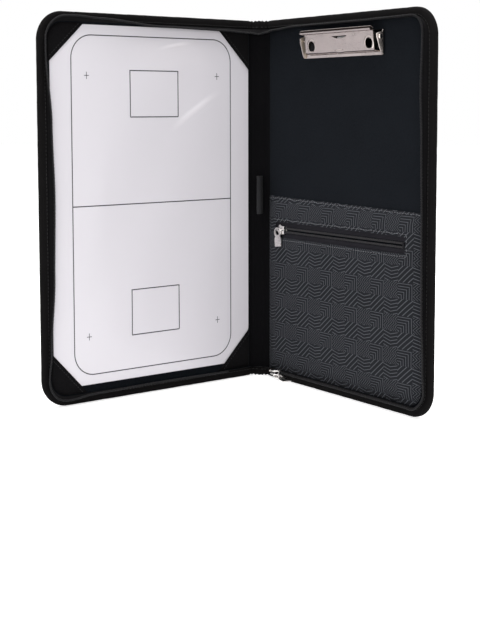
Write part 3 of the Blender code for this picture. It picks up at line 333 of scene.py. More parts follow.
def move_points(obj, points):
    obj.data.vertices.foreach_set("co", points.ravel())
    obj.data.update()


def rings_round(line, across, upward, sides):
    """Rings of points round each point of a line; the cross directions carry the radii."""
    angle = np.linspace(0, 2 * math.pi, sides, endpoint=False)[:, None]
    return line[..., None, :] + np.cos(angle) * across[..., None, :] + np.sin(angle) * upward[..., None, :]


def round_tube(path, radius, sides):
    """Rings round a chain of points, for a rod or a cord."""
    ahead = unit(np.gradient(path, axis=0))
    across = np.cross(ahead, UP)
    upright = np.linalg.norm(across, axis=1) < 0.2
    across[upright] = np.cross(ahead[upright], [1.0, 0.0, 0.0])
    across = unit(across)
    radius = np.broadcast_to(radius, (len(path),))[:, None]
    return rings_round(path, radius * across, radius * np.cross(ahead, across), sides)


# A stitch, as (share of its length, height in mm, share of its thickness)
STITCH_SHAPE = np.array(((0.0, -0.16, 0.5), (0.12, 0.08, 1.0), (0.5, 0.2, 1.05), (0.88, 0.08, 1.0),
                         (1.0, -0.16, 0.5)))
STITCH_FLATTENED = 0.85
STITCH_SIDES = 6
THREAD = (2.6 * MM, 0.9 * MM, 0.2 * MM)          # length, gap and radius of stitches


def stitch_row(path, normals, sizes=THREAD):
    """Thread stitches along a line on a surface."""
    length, gap, radius = sizes
    share, height, thick = STITCH_SHAPE.T
    total = running(path)[-1]
    count = int(total / (length + gap))
    starts = (np.arange(count) + 0.5) * total / count - length / 2
    marks = np.clip(starts[:, None] + share * length, 0, total)
    both = resample(path, np.concatenate([path, normals], 1), marks)
    normal = unit(both[..., 3:])
    spot = both[..., :3] + normal * (height[:, None] * MM)
    across = unit(np.cross(unit(np.gradient(spot, axis=1)), normal))
    thick = radius * thick[:, None]
    rings = rings_round(spot, thick * STITCH_FLATTENED * normal, thick * across, STITCH_SIDES)
    uv = lattice(share * length, np.arange(STITCH_SIDES + 1) * radius)
    return join_parts([grid_quads(ring, uv, wrap=True) for ring in rings])


# Materials
class Value:
    """A number in a node tree, with the usual arithmetic."""

    def __init__(self, nodes, socket):
        self.nodes = nodes
        self.socket = socket

    def math(self, kind, *others):
        return self.nodes.math(kind, self, *others)

    def __add__(self, other):
        return self.math("ADD", other)

    def __sub__(self, other):
        return self.math("SUBTRACT", other)

    def __rsub__(self, other):
        return self.nodes.math("SUBTRACT", other, self)

    def __mul__(self, other):
        return self.math("MULTIPLY", other)

    def __truediv__(self, other):
        return self.math("DIVIDE", other)

    def near(self, centre, half, soft):
        """1 within half of a value, falling to 0 over soft."""
        return self.nodes.ramp((self - centre).math("ABSOLUTE"), half + soft, half)


class Nodes:
    """Adds nodes to a tree; plain numbers go straight on their sockets."""

    def __init__(self, tree):
        self.tree = tree

    def feed(self, slot, item):
        if isinstance(item, Value):
            self.tree.links.new(item.socket, slot)
        elif slot.type == "RGBA":
            slot.default_value = (*item, 1.0)
        else:
            slot.default_value = item

    def add(self, kind, output=0, inputs=(), **settings):
        node = self.tree.nodes.new(kind)
        for key, value in settings.items():
            setattr(node, key, value)
        for key, item in dict(inputs).items():
            self.feed(node.inputs[key], item)
        return Value(self, node.outputs[output])

    def math(self, kind, *items):
        return self.add("ShaderNodeMath", 0, dict(enumerate(items)), operation=kind)

    def ramp(self, x, low, high):
        """0 at low, 1 at high, smooth between."""
        return self.add("ShaderNodeMapRange", 0, {0: x, 1: low, 2: high}, interpolation_type="SMOOTHSTEP")

    def seen(self):
        """1 for rays from the camera, from a glossy surface or through a clear one."""
        path = self.tree.nodes.new("ShaderNodeLightPath")
        kinds = ("Camera", "Glossy", "Transmission")
        camera, glossy, through = (Value(self, path.outputs["Is %s Ray" % kind]) for kind in kinds)
        return camera.math("MAXIMUM", glossy).math("MAXIMUM", through)


class Shader(Nodes):
    """Builds one material; the constants go on the surface's own sockets."""

    def __init__(self, name, **constants):
        self.material = bpy.data.materials.new(name)
        self.material.use_nodes = True
        super().__init__(self.material.node_tree)
        self.surface = self.tree.nodes["Principled BSDF"]
        self.last_bump = None
        for key, value in constants.items():
            self.surface.inputs[key.replace("_", " ")].default_value = value

    def place(self, output):
        """x, y and z of a Texture Coordinate output, and the whole vector."""
        whole = self.add("ShaderNodeTexCoord", output)
        split = self.tree.nodes.new("ShaderNodeSeparateXYZ")
        self.feed(split.inputs[0], whole)
        return [Value(self, split.outputs[k]) for k in range(3)] + [whole]

    def stretch(self, vector, scale):
        return self.add("ShaderNodeMapping", 0, {"Vector": vector, "Scale": scale})

    def noise(self, vector, scale, detail=2.0, rough=0.5):
        inputs = {"Vector": vector, "Scale": scale, "Detail": detail, "Roughness": rough}
        return self.add("ShaderNodeTexNoise", 0, inputs)

    def mix(self, share, first, second):
        return self.add("ShaderNodeMix", 2, ((0, share), (6, first), (7, second)), data_type="RGBA")

    def bump(self, height, distance):
        inputs = {"Distance": distance, "Strength": 1.0, "Height": height}
        if self.last_bump is not None:
            inputs["Normal"] = self.last_bump
        self.last_bump = self.add("ShaderNodeBump", 0, inputs)
        self.feed(self.surface.inputs["Normal"], self.last_bump)

    def done(self, colour, roughness=None):
        self.feed(self.surface.inputs["Base Color"], colour)
        if roughness is not None:
            self.feed(self.surface.inputs["Roughness"], roughness)
        return self.material


def weave(x, y, warp, weft):
    """Height of a plain weave: threads along y every warp, along x every weft."""
    cx, cy = x / warp, y / weft
    fx, fy = cx.math("FRACT") - 0.5, cy.math("FRACT") - 0.5
    odd = ((cx.math("FLOOR") + cy.math("FLOOR")) * 0.5).math("FRACT") * 4.0 - 1.0
    over = odd * (fy * math.pi).math("COSINE") * 0.5 + 0.5
    under = 0.5 - odd * (fx * math.pi).math("COSINE") * 0.5
    return ((1.0 - fx * fx * 4.0) * over).math("MAXIMUM", (1.0 - fy * fy * 4.0) * under)


def ribs(x, pitch):
    return (x * (math.pi / pitch)).math("SINE").math("ABSOLUTE")


def cloth_material(name, dark, light, pitch, depth, slub=0.35, fade=0.0, speckle=0.0, seams=()):
    """Woven cloth: thread bump, thread to thread colour, clouding, lint, and seams with painted shade in
    them; lengths in mm.
    """
    warp, weft = (p * MM for p in pitch)
    shader = Shader(name, Roughness=0.9, Specular_IOR_Level=0.04, Sheen_Weight=0.02, Sheen_Roughness=0.4)
    x, y, _, vector = shader.place("UV")
    wander = shader.noise(vector, 180.0, 1.0) * (0.25 * warp)
    height = weave(x + wander, y + wander, warp, weft)
    threads = shader.noise(shader.stretch(vector, (1 / warp, 0.04 / weft, 1.0)), 1.0, 1.0) * 0.5
    threads = threads + shader.noise(shader.stretch(vector, (0.04 / warp, 1 / weft, 1.0)), 1.0, 1.0) * 0.5
    cloud = shader.noise(vector, 22.0, 3.0)
    grain = (shader.noise(vector, 520.0, 2.0, 0.7) - 0.5) * speckle
    share = shader.ramp(height * (0.45 + slub * 0.5) + threads * slub + cloud * 0.35 + grain, 0.15, 0.95)
    colour = shader.mix(share, dark, light)
    if fade:
        lint = shader.ramp(shader.noise(vector, 900.0, 0.0), 0.78, 0.82)
        colour = shader.mix(lint * fade, colour, tuple(min(1.0, 3.0 * c) for c in light))
    for seam in seams:
        # Each seam is a sunk line darkened with painted shade.
        folded = (x + wander * 2.0).near(seam * MM, 0.55 * MM, 0.35 * MM)
        colour = shader.mix(folded, colour, tuple(0.22 * c for c in dark))
        shader.bump(folded * -1.0, 0.5 * MM)
    shader.bump(cloud, 0.35 * MM)
    shader.bump(height + threads * 0.4, depth * MM)
    return shader.done(colour)


def ribbed_material(name, dark, light, pitch, depth, along=True):
    """Ribbed tape: ribs across the length (along) or stripes down it, with cross threads; lengths in mm."""
    shader = Shader(name, Roughness=0.85, Specular_IOR_Level=0.04, Sheen_Weight=0.015)
    x, y, _, vector = shader.place("UV")
    first, second = (x, y) if along else (y, x)
    wander = shader.noise(vector, 260.0, 1.0) * (0.3 * pitch * MM)
    thick = ribs(first + wander, pitch * MM)
    fine = ribs(second, 0.45 * pitch * MM)
    cloud = shader.noise(vector, 30.0, 3.0)
    share = shader.ramp(thick * 0.6 + fine * 0.2 + cloud * 0.5, 0.2, 1.1)
    shader.bump(cloud, 0.25 * MM)
    shader.bump(thick + fine * 0.25, depth * MM)
    return shader.done(shader.mix(share, dark, light))


def coil_material(name, dark, light):
    shader = Shader(name, Specular_IOR_Level=0.2)
    vector = shader.place("Object")[3]
    mottle = shader.noise(vector, 700.0, 2.0)
    shader.bump(shader.noise(vector, 4000.0, 1.0), 0.02 * MM)
    return shader.done(shader.mix(mottle, dark, light), mottle * 0.2 + 0.32)


ROLL = (340.9 * MM, 10.9 * MM, 1.8 * MM)     # z, w and radius of the clip lever's rolled finger edge


def level_on_back(x, y):
    """Level w on the back cover of a point of a material's object coordinates."""
    level = x * -math.sin(HALF_TURN) - y * math.cos(HALF_TURN)
    return level + (SPINE_Y * math.cos(HALF_TURN) + FOLD_AT * math.sin(HALF_TURN))


def painted_shade_behind_lever(shader, x, y, z):
    """1 on the base plate's inner face behind the lever, where a painted shade darkens it as seen through the
    lever's windows.
    """
    return shader.ramp(level_on_back(x, y), 1.7 * MM, 1.45 * MM) * shader.ramp(z, 321.2 * MM, 321.7 * MM)


def painted_roll_reflection(shader, x, y, z):
    """1 in a line along the lever's rolled finger edge, for a painted dark reflection band."""
    up, out = z - ROLL[0], level_on_back(x, y) - ROLL[1]
    angle = out.math("ARCTAN2", up)
    away = up.math("MAXIMUM", out)
    uneven = shader.noise(shader.stretch(shader.place("Object")[3], (60.0, 60.0, 8.0)), 1.0, 3.0) * 0.10
    dark_reflection_band = (angle + uneven).near(math.radians(70), math.radians(24), math.radians(8))
    return dark_reflection_band * shader.ramp(away, 0.55 * MM, 0.9 * MM)


def metal_material(name, colour, roughness, brushed=2500.0, inside=None, where=painted_shade_behind_lever, metallic=1.0):
    """Plated steel: drawn lines one way, light smudges and rubbed spots; an inside colour, where given, is
    painted over the area that where marks: painted shade on the base plate, a painted dark reflection band on
    the lever.
    """
    shader = Shader(name, Metallic=metallic)
    x, y, z, vector = shader.place("Object")
    lines = shader.noise(shader.stretch(vector, (brushed * 0.03, brushed * 0.03, brushed)), 1.0, 2.0)
    smudge = shader.noise(vector, 90.0, 3.0)
    worn = shader.ramp(shader.noise(vector, 420.0, 4.0, 0.65), 0.56, 0.72)
    shader.bump(lines, 0.004 * MM)
    rough = lines * 0.06 + shader.ramp(smudge, 0.35, 0.7) * 0.12 + worn * 0.08 + roughness
    finish = shader.mix(smudge * 0.6 + worn * 0.3, colour, tuple(c * 0.80 for c in colour))
    if inside is not None:
        finish = shader.mix(where(shader, x, y, z), finish, inside)
    return shader.done(finish, rough)


# Soft creases in the sheet, each with a painted highlight along it, as (start, end, sag, half width) in
# metres of s and z
CREASES = (((0.1273, 0.3252), (0.0789, 0.3335), 0.0010, 0.0024),
           ((0.1125, 0.2465), (0.0450, 0.2895), 0.0015, 0.0042))


def sheet_material():
    """Laminated white board: near smooth, with a faint cloud, rubbed patches, and creases lightened with a
    painted highlight.
    """
    shader = Shader("white_laminate", Coat_Weight=0.3, Coat_Roughness=0.1)
    x, y, _, vector = shader.place("UV")
    cloud = shader.noise(vector, 9.0, 3.0)
    rubbed = shader.noise(shader.stretch(vector, (1.0, 0.25, 1.0)), 60.0, 4.0, 0.7)
    shader.bump(cloud, 0.8 * MM)
    shader.bump(shader.noise(vector, 2500.0, 1.0), 0.006 * MM)
    colour = shader.mix(cloud, (0.81, 0.780, 0.825), (0.78, 0.752, 0.797))
    creases = None
    for (ax, ay), (bx, by), sag, half in CREASES:
        long = math.hypot(bx - ax, by - ay)
        dx, dy = (bx - ax) / long, (by - ay) / long
        along = ((x - ax) * dx + (y - ay) * dy) / long
        off = (y - ay) * dx - (x - ax) * dy + along * (1.0 - along) * (4.0 * sag)
        line = off.near(0.0, 0.1 * half, half) * shader.ramp(along, 0.0, 0.45) * shader.ramp(along, 1.0, 0.55)
        creases = line if creases is None else creases.math("MAXIMUM", line)
    # Painted highlight: the colour lightens along the creases.
    colour = shader.mix(creases * 0.7, colour, (0.96, 0.925, 0.965))
    shader.bump(creases, 0.25 * MM)
    return shader.done(colour, shader.ramp(rubbed, 0.35, 0.75) * 0.04 + 0.3)


def board_material():
    shader = Shader("pressed_grey_board", Roughness=0.92)
    fibres = shader.noise(shader.place("Object")[3], 1200.0, 3.0, 0.7)
    shader.bump(fibres, 0.08 * MM)
    return shader.done(shader.mix(fibres, (0.24, 0.22, 0.19), (0.40, 0.37, 0.32)))


def print_material():
    """Black pocket cloth with a fine grey line print: a check of square angles, slants, bars and rails."""
    tile, lines, width = 18.5 * MM, 6.0, 0.12
    shader = Shader("printed_ripstop", Roughness=0.85, Specular_IOR_Level=0.04, Sheen_Weight=0.02)
    x, y, _, vector = shader.place("UV")
    cx, cy = x / tile, y / (0.8 * tile)
    column, row = ((c.math("FLOOR") * 0.5).math("FRACT") * 2.0 for c in (cx, cy))
    fx, fy = cx.math("FRACT"), cy.math("FRACT")
    gx = fx * row + (1.0 - fx) * (1.0 - row)
    angles = gx.math("MAXIMUM", fy) * lines
    slants = (gx + fy) * (0.5 * lines) + 0.5
    bars = fx * lines + fy.math("PINGPONG", 0.25) * lines
    rails = fy * (lines * 0.8) + gx.math("PINGPONG", 0.5) * 1.5
    first = angles * row + slants * (1.0 - row)
    second = bars * row + rails * (1.0 - row)
    where = first * column + second * (1.0 - column)
    ink = (where.math("FRACT") - 0.5).math("ABSOLUTE").near(0.0, width * 0.5, width * 0.5)
    height = weave(x, y, 0.42 * MM, 0.42 * MM)
    cloud = shader.noise(vector, 25.0, 3.0)
    ground = shader.mix(height * 0.5 + cloud * 0.5, (0.0100, 0.0106, 0.0125), (0.0235, 0.0250, 0.0295))
    shader.bump(cloud, 0.4 * MM)
    shader.bump(height, 0.06 * MM)
    grain = shader.noise(vector, 1500.0, 1.0) * 0.6 + 0.4
    return shader.done(shader.mix(ink * grain, ground, (0.140, 0.147, 0.164)))


def thread_material(name, dark, light):
    shader = Shader(name, Roughness=0.6)
    x, y, _, vector = shader.place("UV")
    twist = ribs(x + y * 2.0, 0.35 * MM)
    shader.bump(twist, 0.06 * MM)
    return shader.done(shader.mix(twist * 0.7 + shader.noise(vector, 800.0, 1.0) * 0.3, dark, light))


OXFORD = dict(dark=(0.0165, 0.0145, 0.0175), light=(0.043, 0.037, 0.045), pitch=(0.66, 0.62), depth=0.16,
              slub=0.5, fade=0.1, speckle=1.5)
OUTER = cloth_material("oxford_outer", **OXFORD)
# The trim's seams carry painted shade along its edges.
TRIM_CLOTH = cloth_material("oxford_trim", **OXFORD, seams=(70.7, 76.9))
LINING = cloth_material("lining_weave", (0.0038, 0.0047, 0.0063), (0.0097, 0.0117, 0.0151),
                        (0.45, 0.42), 0.08, speckle=0.9)
# Painted shade: a darker copy of the lining for the strip over the spine, deep in the fold.
SPINE_SHADE_LINING = cloth_material("spine_lining_weave", (0.0015, 0.0014, 0.0018), (0.0044, 0.0042, 0.0049),
                        (0.45, 0.42), 0.08)
CORNER_CLOTH = cloth_material("corner_pocket_weave", (0.0026, 0.0025, 0.0028), (0.0075, 0.0071, 0.0078),
                              (0.4, 0.4), 0.08, speckle=0.9)
BAND_CLOTH = cloth_material("band_jacquard", (0.014, 0.0125, 0.015), (0.043, 0.0385, 0.045), (0.95, 0.8), 0.2,
                            slub=0.9, fade=0.25, speckle=1.8)
# The binding's grosgrain in two copies: a very dark one for its inner leg, painted shade, and a lighter one
# for its outer leg, painted light.
BINDING_CLOTH = ribbed_material("grosgrain", (0.0026, 0.0024, 0.0025), (0.0090, 0.0082, 0.0085), 0.85, 0.14)
BINDING_LIT_OUTSIDE = ribbed_material("grosgrain_painted_lit_outside", (0.022, 0.0195, 0.020), (0.066, 0.058, 0.060),
                                  0.85, 0.14)
TAPE_CLOTH = ribbed_material("zip_tape_weave", (0.0027, 0.0026, 0.0028), (0.0085, 0.0080, 0.0087), 1.1, 0.12,
                             along=False)
POCKET_TAPE = ribbed_material("pocket_tape_weave", (0.0070, 0.0068, 0.0084), (0.0235, 0.0225, 0.0275),
                              1.3, 0.16, along=False)
ELASTIC = ribbed_material("ribbed_elastic", (0.010, 0.010, 0.011), (0.030, 0.030, 0.032), 0.9, 0.16)
PRINT_CLOTH = print_material()
COIL = coil_material("zip_coil_nylon", (0.006, 0.006, 0.007), (0.014, 0.0135, 0.015))
POCKET_COIL = coil_material("pocket_coil_nylon", (0.022, 0.021, 0.023), (0.060, 0.058, 0.062))
SHEET = sheet_material()
BOARD = board_material()
NICKEL = metal_material("nickel_plate", (0.60, 0.55, 0.52), 0.16)
# The base plate's inside colour is a painted shade on its inner face behind the lever.
BASE_STEEL = metal_material("nickel_plate_painted_shade", (0.64, 0.58, 0.55), 0.12,
                            inside=(0.012, 0.012, 0.013))
# The lever's inside colour is a painted dark reflection band along its roll.
LEVER_STEEL = metal_material("nickel_plate_rolled", (0.615, 0.55, 0.52), 0.11, inside=(0.020, 0.010, 0.008),
                             where=painted_roll_reflection)
SHADED_STEEL = metal_material("nickel_plate_shaded", (0.028, 0.025, 0.024), 0.45)
# Painted light: a paler, less metallic copy of the plate for the near ear's inner face, standing in for the
# light it catches.
LIT_EAR_STEEL = metal_material("steel_painted_lit_ear", (0.42, 0.35, 0.285), 0.35, metallic=0.25)
CAST_METAL = metal_material("nickel_cast", (0.76, 0.735, 0.72), 0.2, 900.0)
BLACK_METAL = metal_material("black_lacquered_metal", (0.020, 0.020, 0.022), 0.3, 1500.0)
STEEL = metal_material("spring_wire", (0.50, 0.50, 0.51), 0.25, 1500.0)
INK = thread_material("court_ink", (0.030, 0.030, 0.036), (0.045, 0.045, 0.052))
BLACK_THREAD = thread_material("black_thread", (0.004, 0.004, 0.0045), (0.014, 0.013, 0.014))
GREY_THREAD = thread_material("grey_thread", (0.10, 0.10, 0.11), (0.26, 0.26, 0.28))


# Layers: thicknesses (_T), levels measured inwards from the lining's face, insets from the rim
SHELL_T = 0.8 * MM
LINING_T = 0.8 * MM
TAPE_T = 0.45 * MM
SHEET_T = 0.9 * MM
CORNER_T = 0.55 * MM
POCKET_T = 0.7 * MM
SPINE_SHADE_HALF = 10.5 * MM          # darker strip of the lining over the spine: painted shade of the deep fold
EDGE_INSET = 1.1 * MM
CROWN_START = 9 * MM
CROWN_FLOOR = -2.1 * MM
CROWN_RISE = 3.9 * MM
CROWN_RUN = 3.6 * MM
CHAIN_INSET = 8.7 * MM
CHAIN_W = 7.2 * MM
CHAIN_LEAN = 8 * MM              # shift of the chain at which its tape leans fully
CHAIN_DROP = 1.3 * MM            # what it then loses in height
SPINE_CHAIN_W = 5.5 * MM
TAIL_RUN = 24 * MM               # length over which a tape leaves the cover for the middle of the spine
TAIL_PULL = 6 * MM
TAPE_FOOT = (8.45 * MM, 0.75 * MM)   # inset and level

# Inset of the chain along the rim, as (length, inset) in mm: the tapes lean out at corners and between them
CHAIN = {
    FRONT: ((0, 10), (45, 9.2), (130, 9.6), (200, 8.6), (228, 6.2), (250, 4.2), (268, 4.0), (292, 6.2),
            (360, 10.2), (430, 11.6), (500, 9.6), (560, 4.8), (592, 4.6), (625, 4.0), (650, 5.4), (720, 10.4),
            (790, 11.2), (828, 12.6), (841, 13.6)),
    BACK: ((0, 10), (24, 8.7), (225, 8.7), (243, 6.4), (264, 4.4), (290, 5.6), (340, 7.4), (410, 8.2),
           (480, 9.6), (530, 11.4), (572, 10.2), (600, 7.4), (640, 8.0), (680, 8.7), (780, 8.7), (812, 10.4),
           (828, 12.2), (841, 13.6))}


def crown(distance):
    """Level of the padded outer face at an inset from the rim."""
    return CROWN_FLOOR - CROWN_RISE * (1 - np.exp(-np.maximum(distance - CROWN_START, 0) / CROWN_RUN))


def chain_inset(half, lengths):
    """Inset of the zip chain, and the lean of its tape."""
    inset = ease(lengths, np.array(CHAIN[half]) * MM)
    return inset, (inset - CHAIN_INSET) / CHAIN_LEAN


def chain_line(half, lengths):
    """Middle line of the zip chain's coil, which sags towards the lining across the spine."""
    s, z, ns, nz = rim_at(lengths)
    inset, lean = chain_inset(half, lengths)
    line = half.place(s - ns * inset, CHAIN_W - CHAIN_DROP * lean * lean, z - nz * inset)
    start = np.array([0.0, SPINE_Y - SPINE_CHAIN_W, 0.0])
    end = half.place(TAIL_RUN, CHAIN_W, 0.0)
    first = start + np.array([-half.side * TAIL_PULL, 0.0, 0.0])
    last = end - (half.place(TAIL_RUN + 1, CHAIN_W, 0.0) - end) * TAIL_PULL
    share = np.clip(s / TAIL_RUN, 0, 1)[:, None]
    bend = (1 - share) ** 3 * start + 3 * share * (1 - share) ** 2 * first
    bend = bend + 3 * share ** 2 * (1 - share) * last + share ** 3 * end
    flat = np.where((s < TAIL_RUN)[:, None], bend, line)
    flat[:, 2] = line[:, 2]
    return flat


def tape_foot(half, marks):
    """Line along which the zip tape leaves the binding."""
    return on_rim(half, marks, *TAPE_FOOT)[:, 0]


# Sheets over a half
def panel_grid(step, rows):
    """Grid (s, z) over a half inside its edge: closer over the fold line, rounded at the fore-edge."""
    radius, far = CORNER - EDGE_INSET, REACH - EDGE_INSET
    begin = far - radius
    fold = np.linspace(FOLD_AT - FOLD_REACH, FOLD_AT + FOLD_REACH, 11)
    flat = np.linspace(fold[-1], begin, int((begin - fold[-1]) / step) + 1)[1:]
    arc = corner_columns(far, radius, 9)[1:]
    s = np.concatenate([[0.0, 0.5 * fold[0]], fold, flat, arc])
    low = (EDGE_INSET + corner_drop(s, far, radius))[:, None]
    return np.broadcast_to(s[:, None], (len(s), rows)), low + (HEIGHT - 2 * low) * np.linspace(0, 1, rows)


def sheet_piece(name, half, s, w, z, material, slot, uv=None, look=1):
    """Open sheet from grids of s, w and z, looking inwards (1) or outwards; UV is (s, z) unless given."""
    uv = np.stack([s, z], -1) if uv is None else uv
    obj = make_piece(name, grid_quads(half.place(s, w, z), uv), material, slot=slot)
    face_towards(obj, look * half.inward())
    return obj


INFLATE_FRAMES = 20


def inflate(obj, pinned, pressure, cap, shrink):
    """Let a sewn-down sheet puff up in a short cloth simulation, its travel capped."""
    rest = np.array([v.co for v in obj.data.vertices])
    group = obj.vertex_groups.new(name="sewn")
    group.add([int(i) for i in np.flatnonzero(pinned)], 1.0, "REPLACE")
    cloth = obj.modifiers.new("Cloth", "CLOTH")
    settings = dict(quality=6, mass=0.2, tension_stiffness=12, compression_stiffness=12,
                    bending_stiffness=0.4, use_pressure=True, uniform_pressure_force=pressure,
                    vertex_group_mass=group.name, shrink_min=shrink)
    for key, value in settings.items():
        setattr(cloth.settings, key, value)
    cloth.settings.effector_weights.gravity = 0
    cloth.collision_settings.use_collision = False
    for frame_number in range(1, INFLATE_FRAMES + 1):
        bpy.context.scene.frame_set(frame_number)
    graph = bpy.context.evaluated_depsgraph_get()
    moved = np.array([v.co for v in obj.evaluated_get(graph).data.vertices]) - rest
    obj.modifiers.clear()
    obj.vertex_groups.clear()
    bpy.context.scene.frame_set(1)
    travel = np.linalg.norm(moved, axis=1, keepdims=True)
    move_points(obj, rest + moved * (cap / (cap + travel)))


def surface_of(obj):
    graph = bpy.context.evaluated_depsgraph_get()
    graph.update()
    return BVHTree.FromObject(obj, graph)


def levels_on(surface, half, u, z, side):
    """Level w of a surface at each (u, z), found by rays from inside (side 1) or outside (-1)."""
    far = 30 * MM
    ahead = Vector(-side * half.inward())
    w = np.zeros(u.shape)
    for spot in np.ndindex(u.shape):
        start = Vector(half.cover(u[spot], side * far, z[spot]))
        w[spot] = side * (far - surface.ray_cast(start, ahead)[3])
    return w


def padded_shell(half):
    """Outer fabric of a cover and its half of the spine, puffed over the foam."""
    s, z = panel_grid(5 * MM, 73)
    d = rim_distance(s, z)
    pucker = np.exp(-np.maximum(d - CROWN_START, 0) / (7 * MM)) * smooth((d - 4 * MM) / (5 * MM))
    w = crown(d) - 0.16 * pucker * ripple(s + z, (1.0, 17, 0.4), (0.6, 11, 2.0))
    w = w - ripple(s * 0.8 + z * 0.3, (0.10, 95, half.side)) * smooth((d - 12 * MM) / (30 * MM))
    obj = sheet_piece(half.name + "_padded_shell", half, s, w, z, OUTER, "woven_fabric", look=-1)
    sewn = (d < 10 * MM) | (s < FOLD_AT + 6 * MM) | (s > REACH - 10 * MM)
    inflate(obj, sewn.ravel(), pressure=1.2, cap=1.6 * MM, shrink=-0.006)
    refine(obj)
    surface = surface_of(obj)
    thicken(obj, SHELL_T)
    attach(obj, half, *half.nodes(("outer_fabric", "foam_pad", "fold_fabric"), ("outer_fabric", "foam")))
    return surface


def lining_sheet(half):
    """Inner lining of a cover and its half of the spine."""
    s, z = panel_grid(6 * MM, 61)
    soft = smooth((rim_distance(s, z) - 10 * MM) / (20 * MM)) * smooth((s - 20 * MM) / (20 * MM))
    w = -0.12 * soft * (MM + ripple(s * 0.9 + z * 0.5, (0.7, 83, 1.0)) + ripple(z, (0.3, 61, 0.0)))
    obj = sheet_piece(half.name + "_lining_sheet", half, s, w, z, LINING, "lining_fabric")
    thicken(obj, LINING_T)
    # Faces over the spine take the painted shade copy.
    obj.data.materials.append(SPINE_SHADE_LINING)
    for face in obj.data.polygons:
        face.material_index = int(abs(face.center.x) < SPINE_SHADE_HALF)
    attach(obj, half, *half.nodes(("lining", "fold_lining"), ("lining",)))


# Edge binding, standing zip tape and turned coil
BINDING_SECTION = np.array((
    (7.9, 1.12), (8.12, 1.5), (7.85, 1.86), (7.1, 1.94), (6.6, 1.88), (6.1, 1.97), (4.3, 2.06), (2.3, 2.0),
    (1.1, 1.7), (0.35, 1.1), (0.02, 0.2), (0.0, -0.65), (0.02, -1.5), (0.35, -2.4), (1.1, -3.0), (2.3, -3.3),
    (4.3, -3.36), (6.1, -3.27), (6.6, -3.18), (7.1, -3.24), (7.85, -3.16), (8.12, -2.8), (7.9, -2.42),
    (4.0, -2.4), (1.0, -2.2), (0.75, -0.65), (1.0, 0.9), (4.0, 1.1))) * MM
OUTER_LEG = (13, 21)             # points of the section on the outer face
SECTION_MIDDLE = -0.65 * MM
BINDING_WIDE = 8 * MM
CREASED = 21.3 * MM              # the folds crease the binding this far from the middle of the spine
# Creases as (distance from the middle of the spine, depth) in mm
EDGE_CREASES = {FRONT: ((2.5, 0.8), (6.2, 1.1), (9.4, 0.5)),
                BACK: ((1.4, 0.7), (4.6, 1.2), (8.3, 1.0), (12.2, 0.6))}
STITCH_INSET = 6.6 * MM
STITCH_LEVELS = ((1.9 * MM, MM), (-3.2 * MM, -MM))   # inner and outer row, and the way out of the cloth


def rim_wobble(half, lengths):
    """Slight unevenness of a sewn edge."""
    return ripple(lengths, (0.11, 61, half.side), (0.07, 27, 1.0), (0.04, 11, 2.0))


def edge_binding(half):
    """Grosgrain folded round the edge, creased at the folds, with its two rows of stitches."""
    fine = np.arange(0.7 * MM, CREASED, 0.7 * MM)
    marks = np.concatenate([[0.0], fine, stations(CREASED, RIM - CREASED, 2.7 * MM), RIM - fine[::-1], [RIM]])
    end = np.minimum(marks, RIM - marks)
    wobble = rim_wobble(half, marks)[:, None]
    crease = sum(depth * MM * hill(end, at * MM, 0.75 * MM) for at, depth in EDGE_CREASES[half])[:, None]
    pinch = hill(rim_at(marks)[0], FOLD_AT, 3.6 * MM) * ripple(marks, (0.5, 4.1, 0.7), (0.2, 9, 0.0))
    pinch = pinch[:, None]
    t, w = BINDING_SECTION.T[:, None]
    deep = t / BINDING_WIDE
    leg = np.where(w > SECTION_MIDDLE, 1.0, -1.0)
    puff = ripple(marks, (0.07, 3.5, 0.0), (0.08, 19, 0.0))[:, None] * deep * (t > 2 * MM)
    inset = t + (np.abs(wobble + pinch) + crease) * (1 - deep) + wobble * deep
    rings = on_rim(half, marks, inset, w + leg * (puff + pinch * deep - 0.45 * crease))
    around = running(np.concatenate([BINDING_SECTION, BINDING_SECTION[:1]]))
    tube = (rings, marks, around)
    obj = tube_piece(half.name + "_edge_binding", [tube], BINDING_CLOTH, 70, "grosgrain_binding")
    # The outer leg takes the lighter copy: painted light on one tape.
    obj.data.materials.append(BINDING_LIT_OUTSIDE)
    layer = obj.data.uv_layers[0].data
    for face in obj.data.polygons:
        reach = [layer[k].uv[1] for k in face.loop_indices]
        middle = (min(reach) + max(reach)) / 2
        face.material_index = int(around[OUTER_LEG[0]] < middle < around[OUTER_LEG[1]])
    attach(obj, half, *half.nodes(("binding",), ("binding_top", "binding_bottom")))

    fine = stations(1 * MM, RIM - 1 * MM, 2 * MM)
    inset = (STITCH_INSET + rim_wobble(half, fine))[:, None]
    parts = []
    for level, out in STITCH_LEVELS:
        path, above = (on_rim(half, fine, inset, w)[:, 0] for w in (level, level + out))
        parts.append(stitch_row(path, unit(above - path)))
    attach(make_piece(half.name + "_binding_stitches", join_parts(parts), BLACK_THREAD), half)


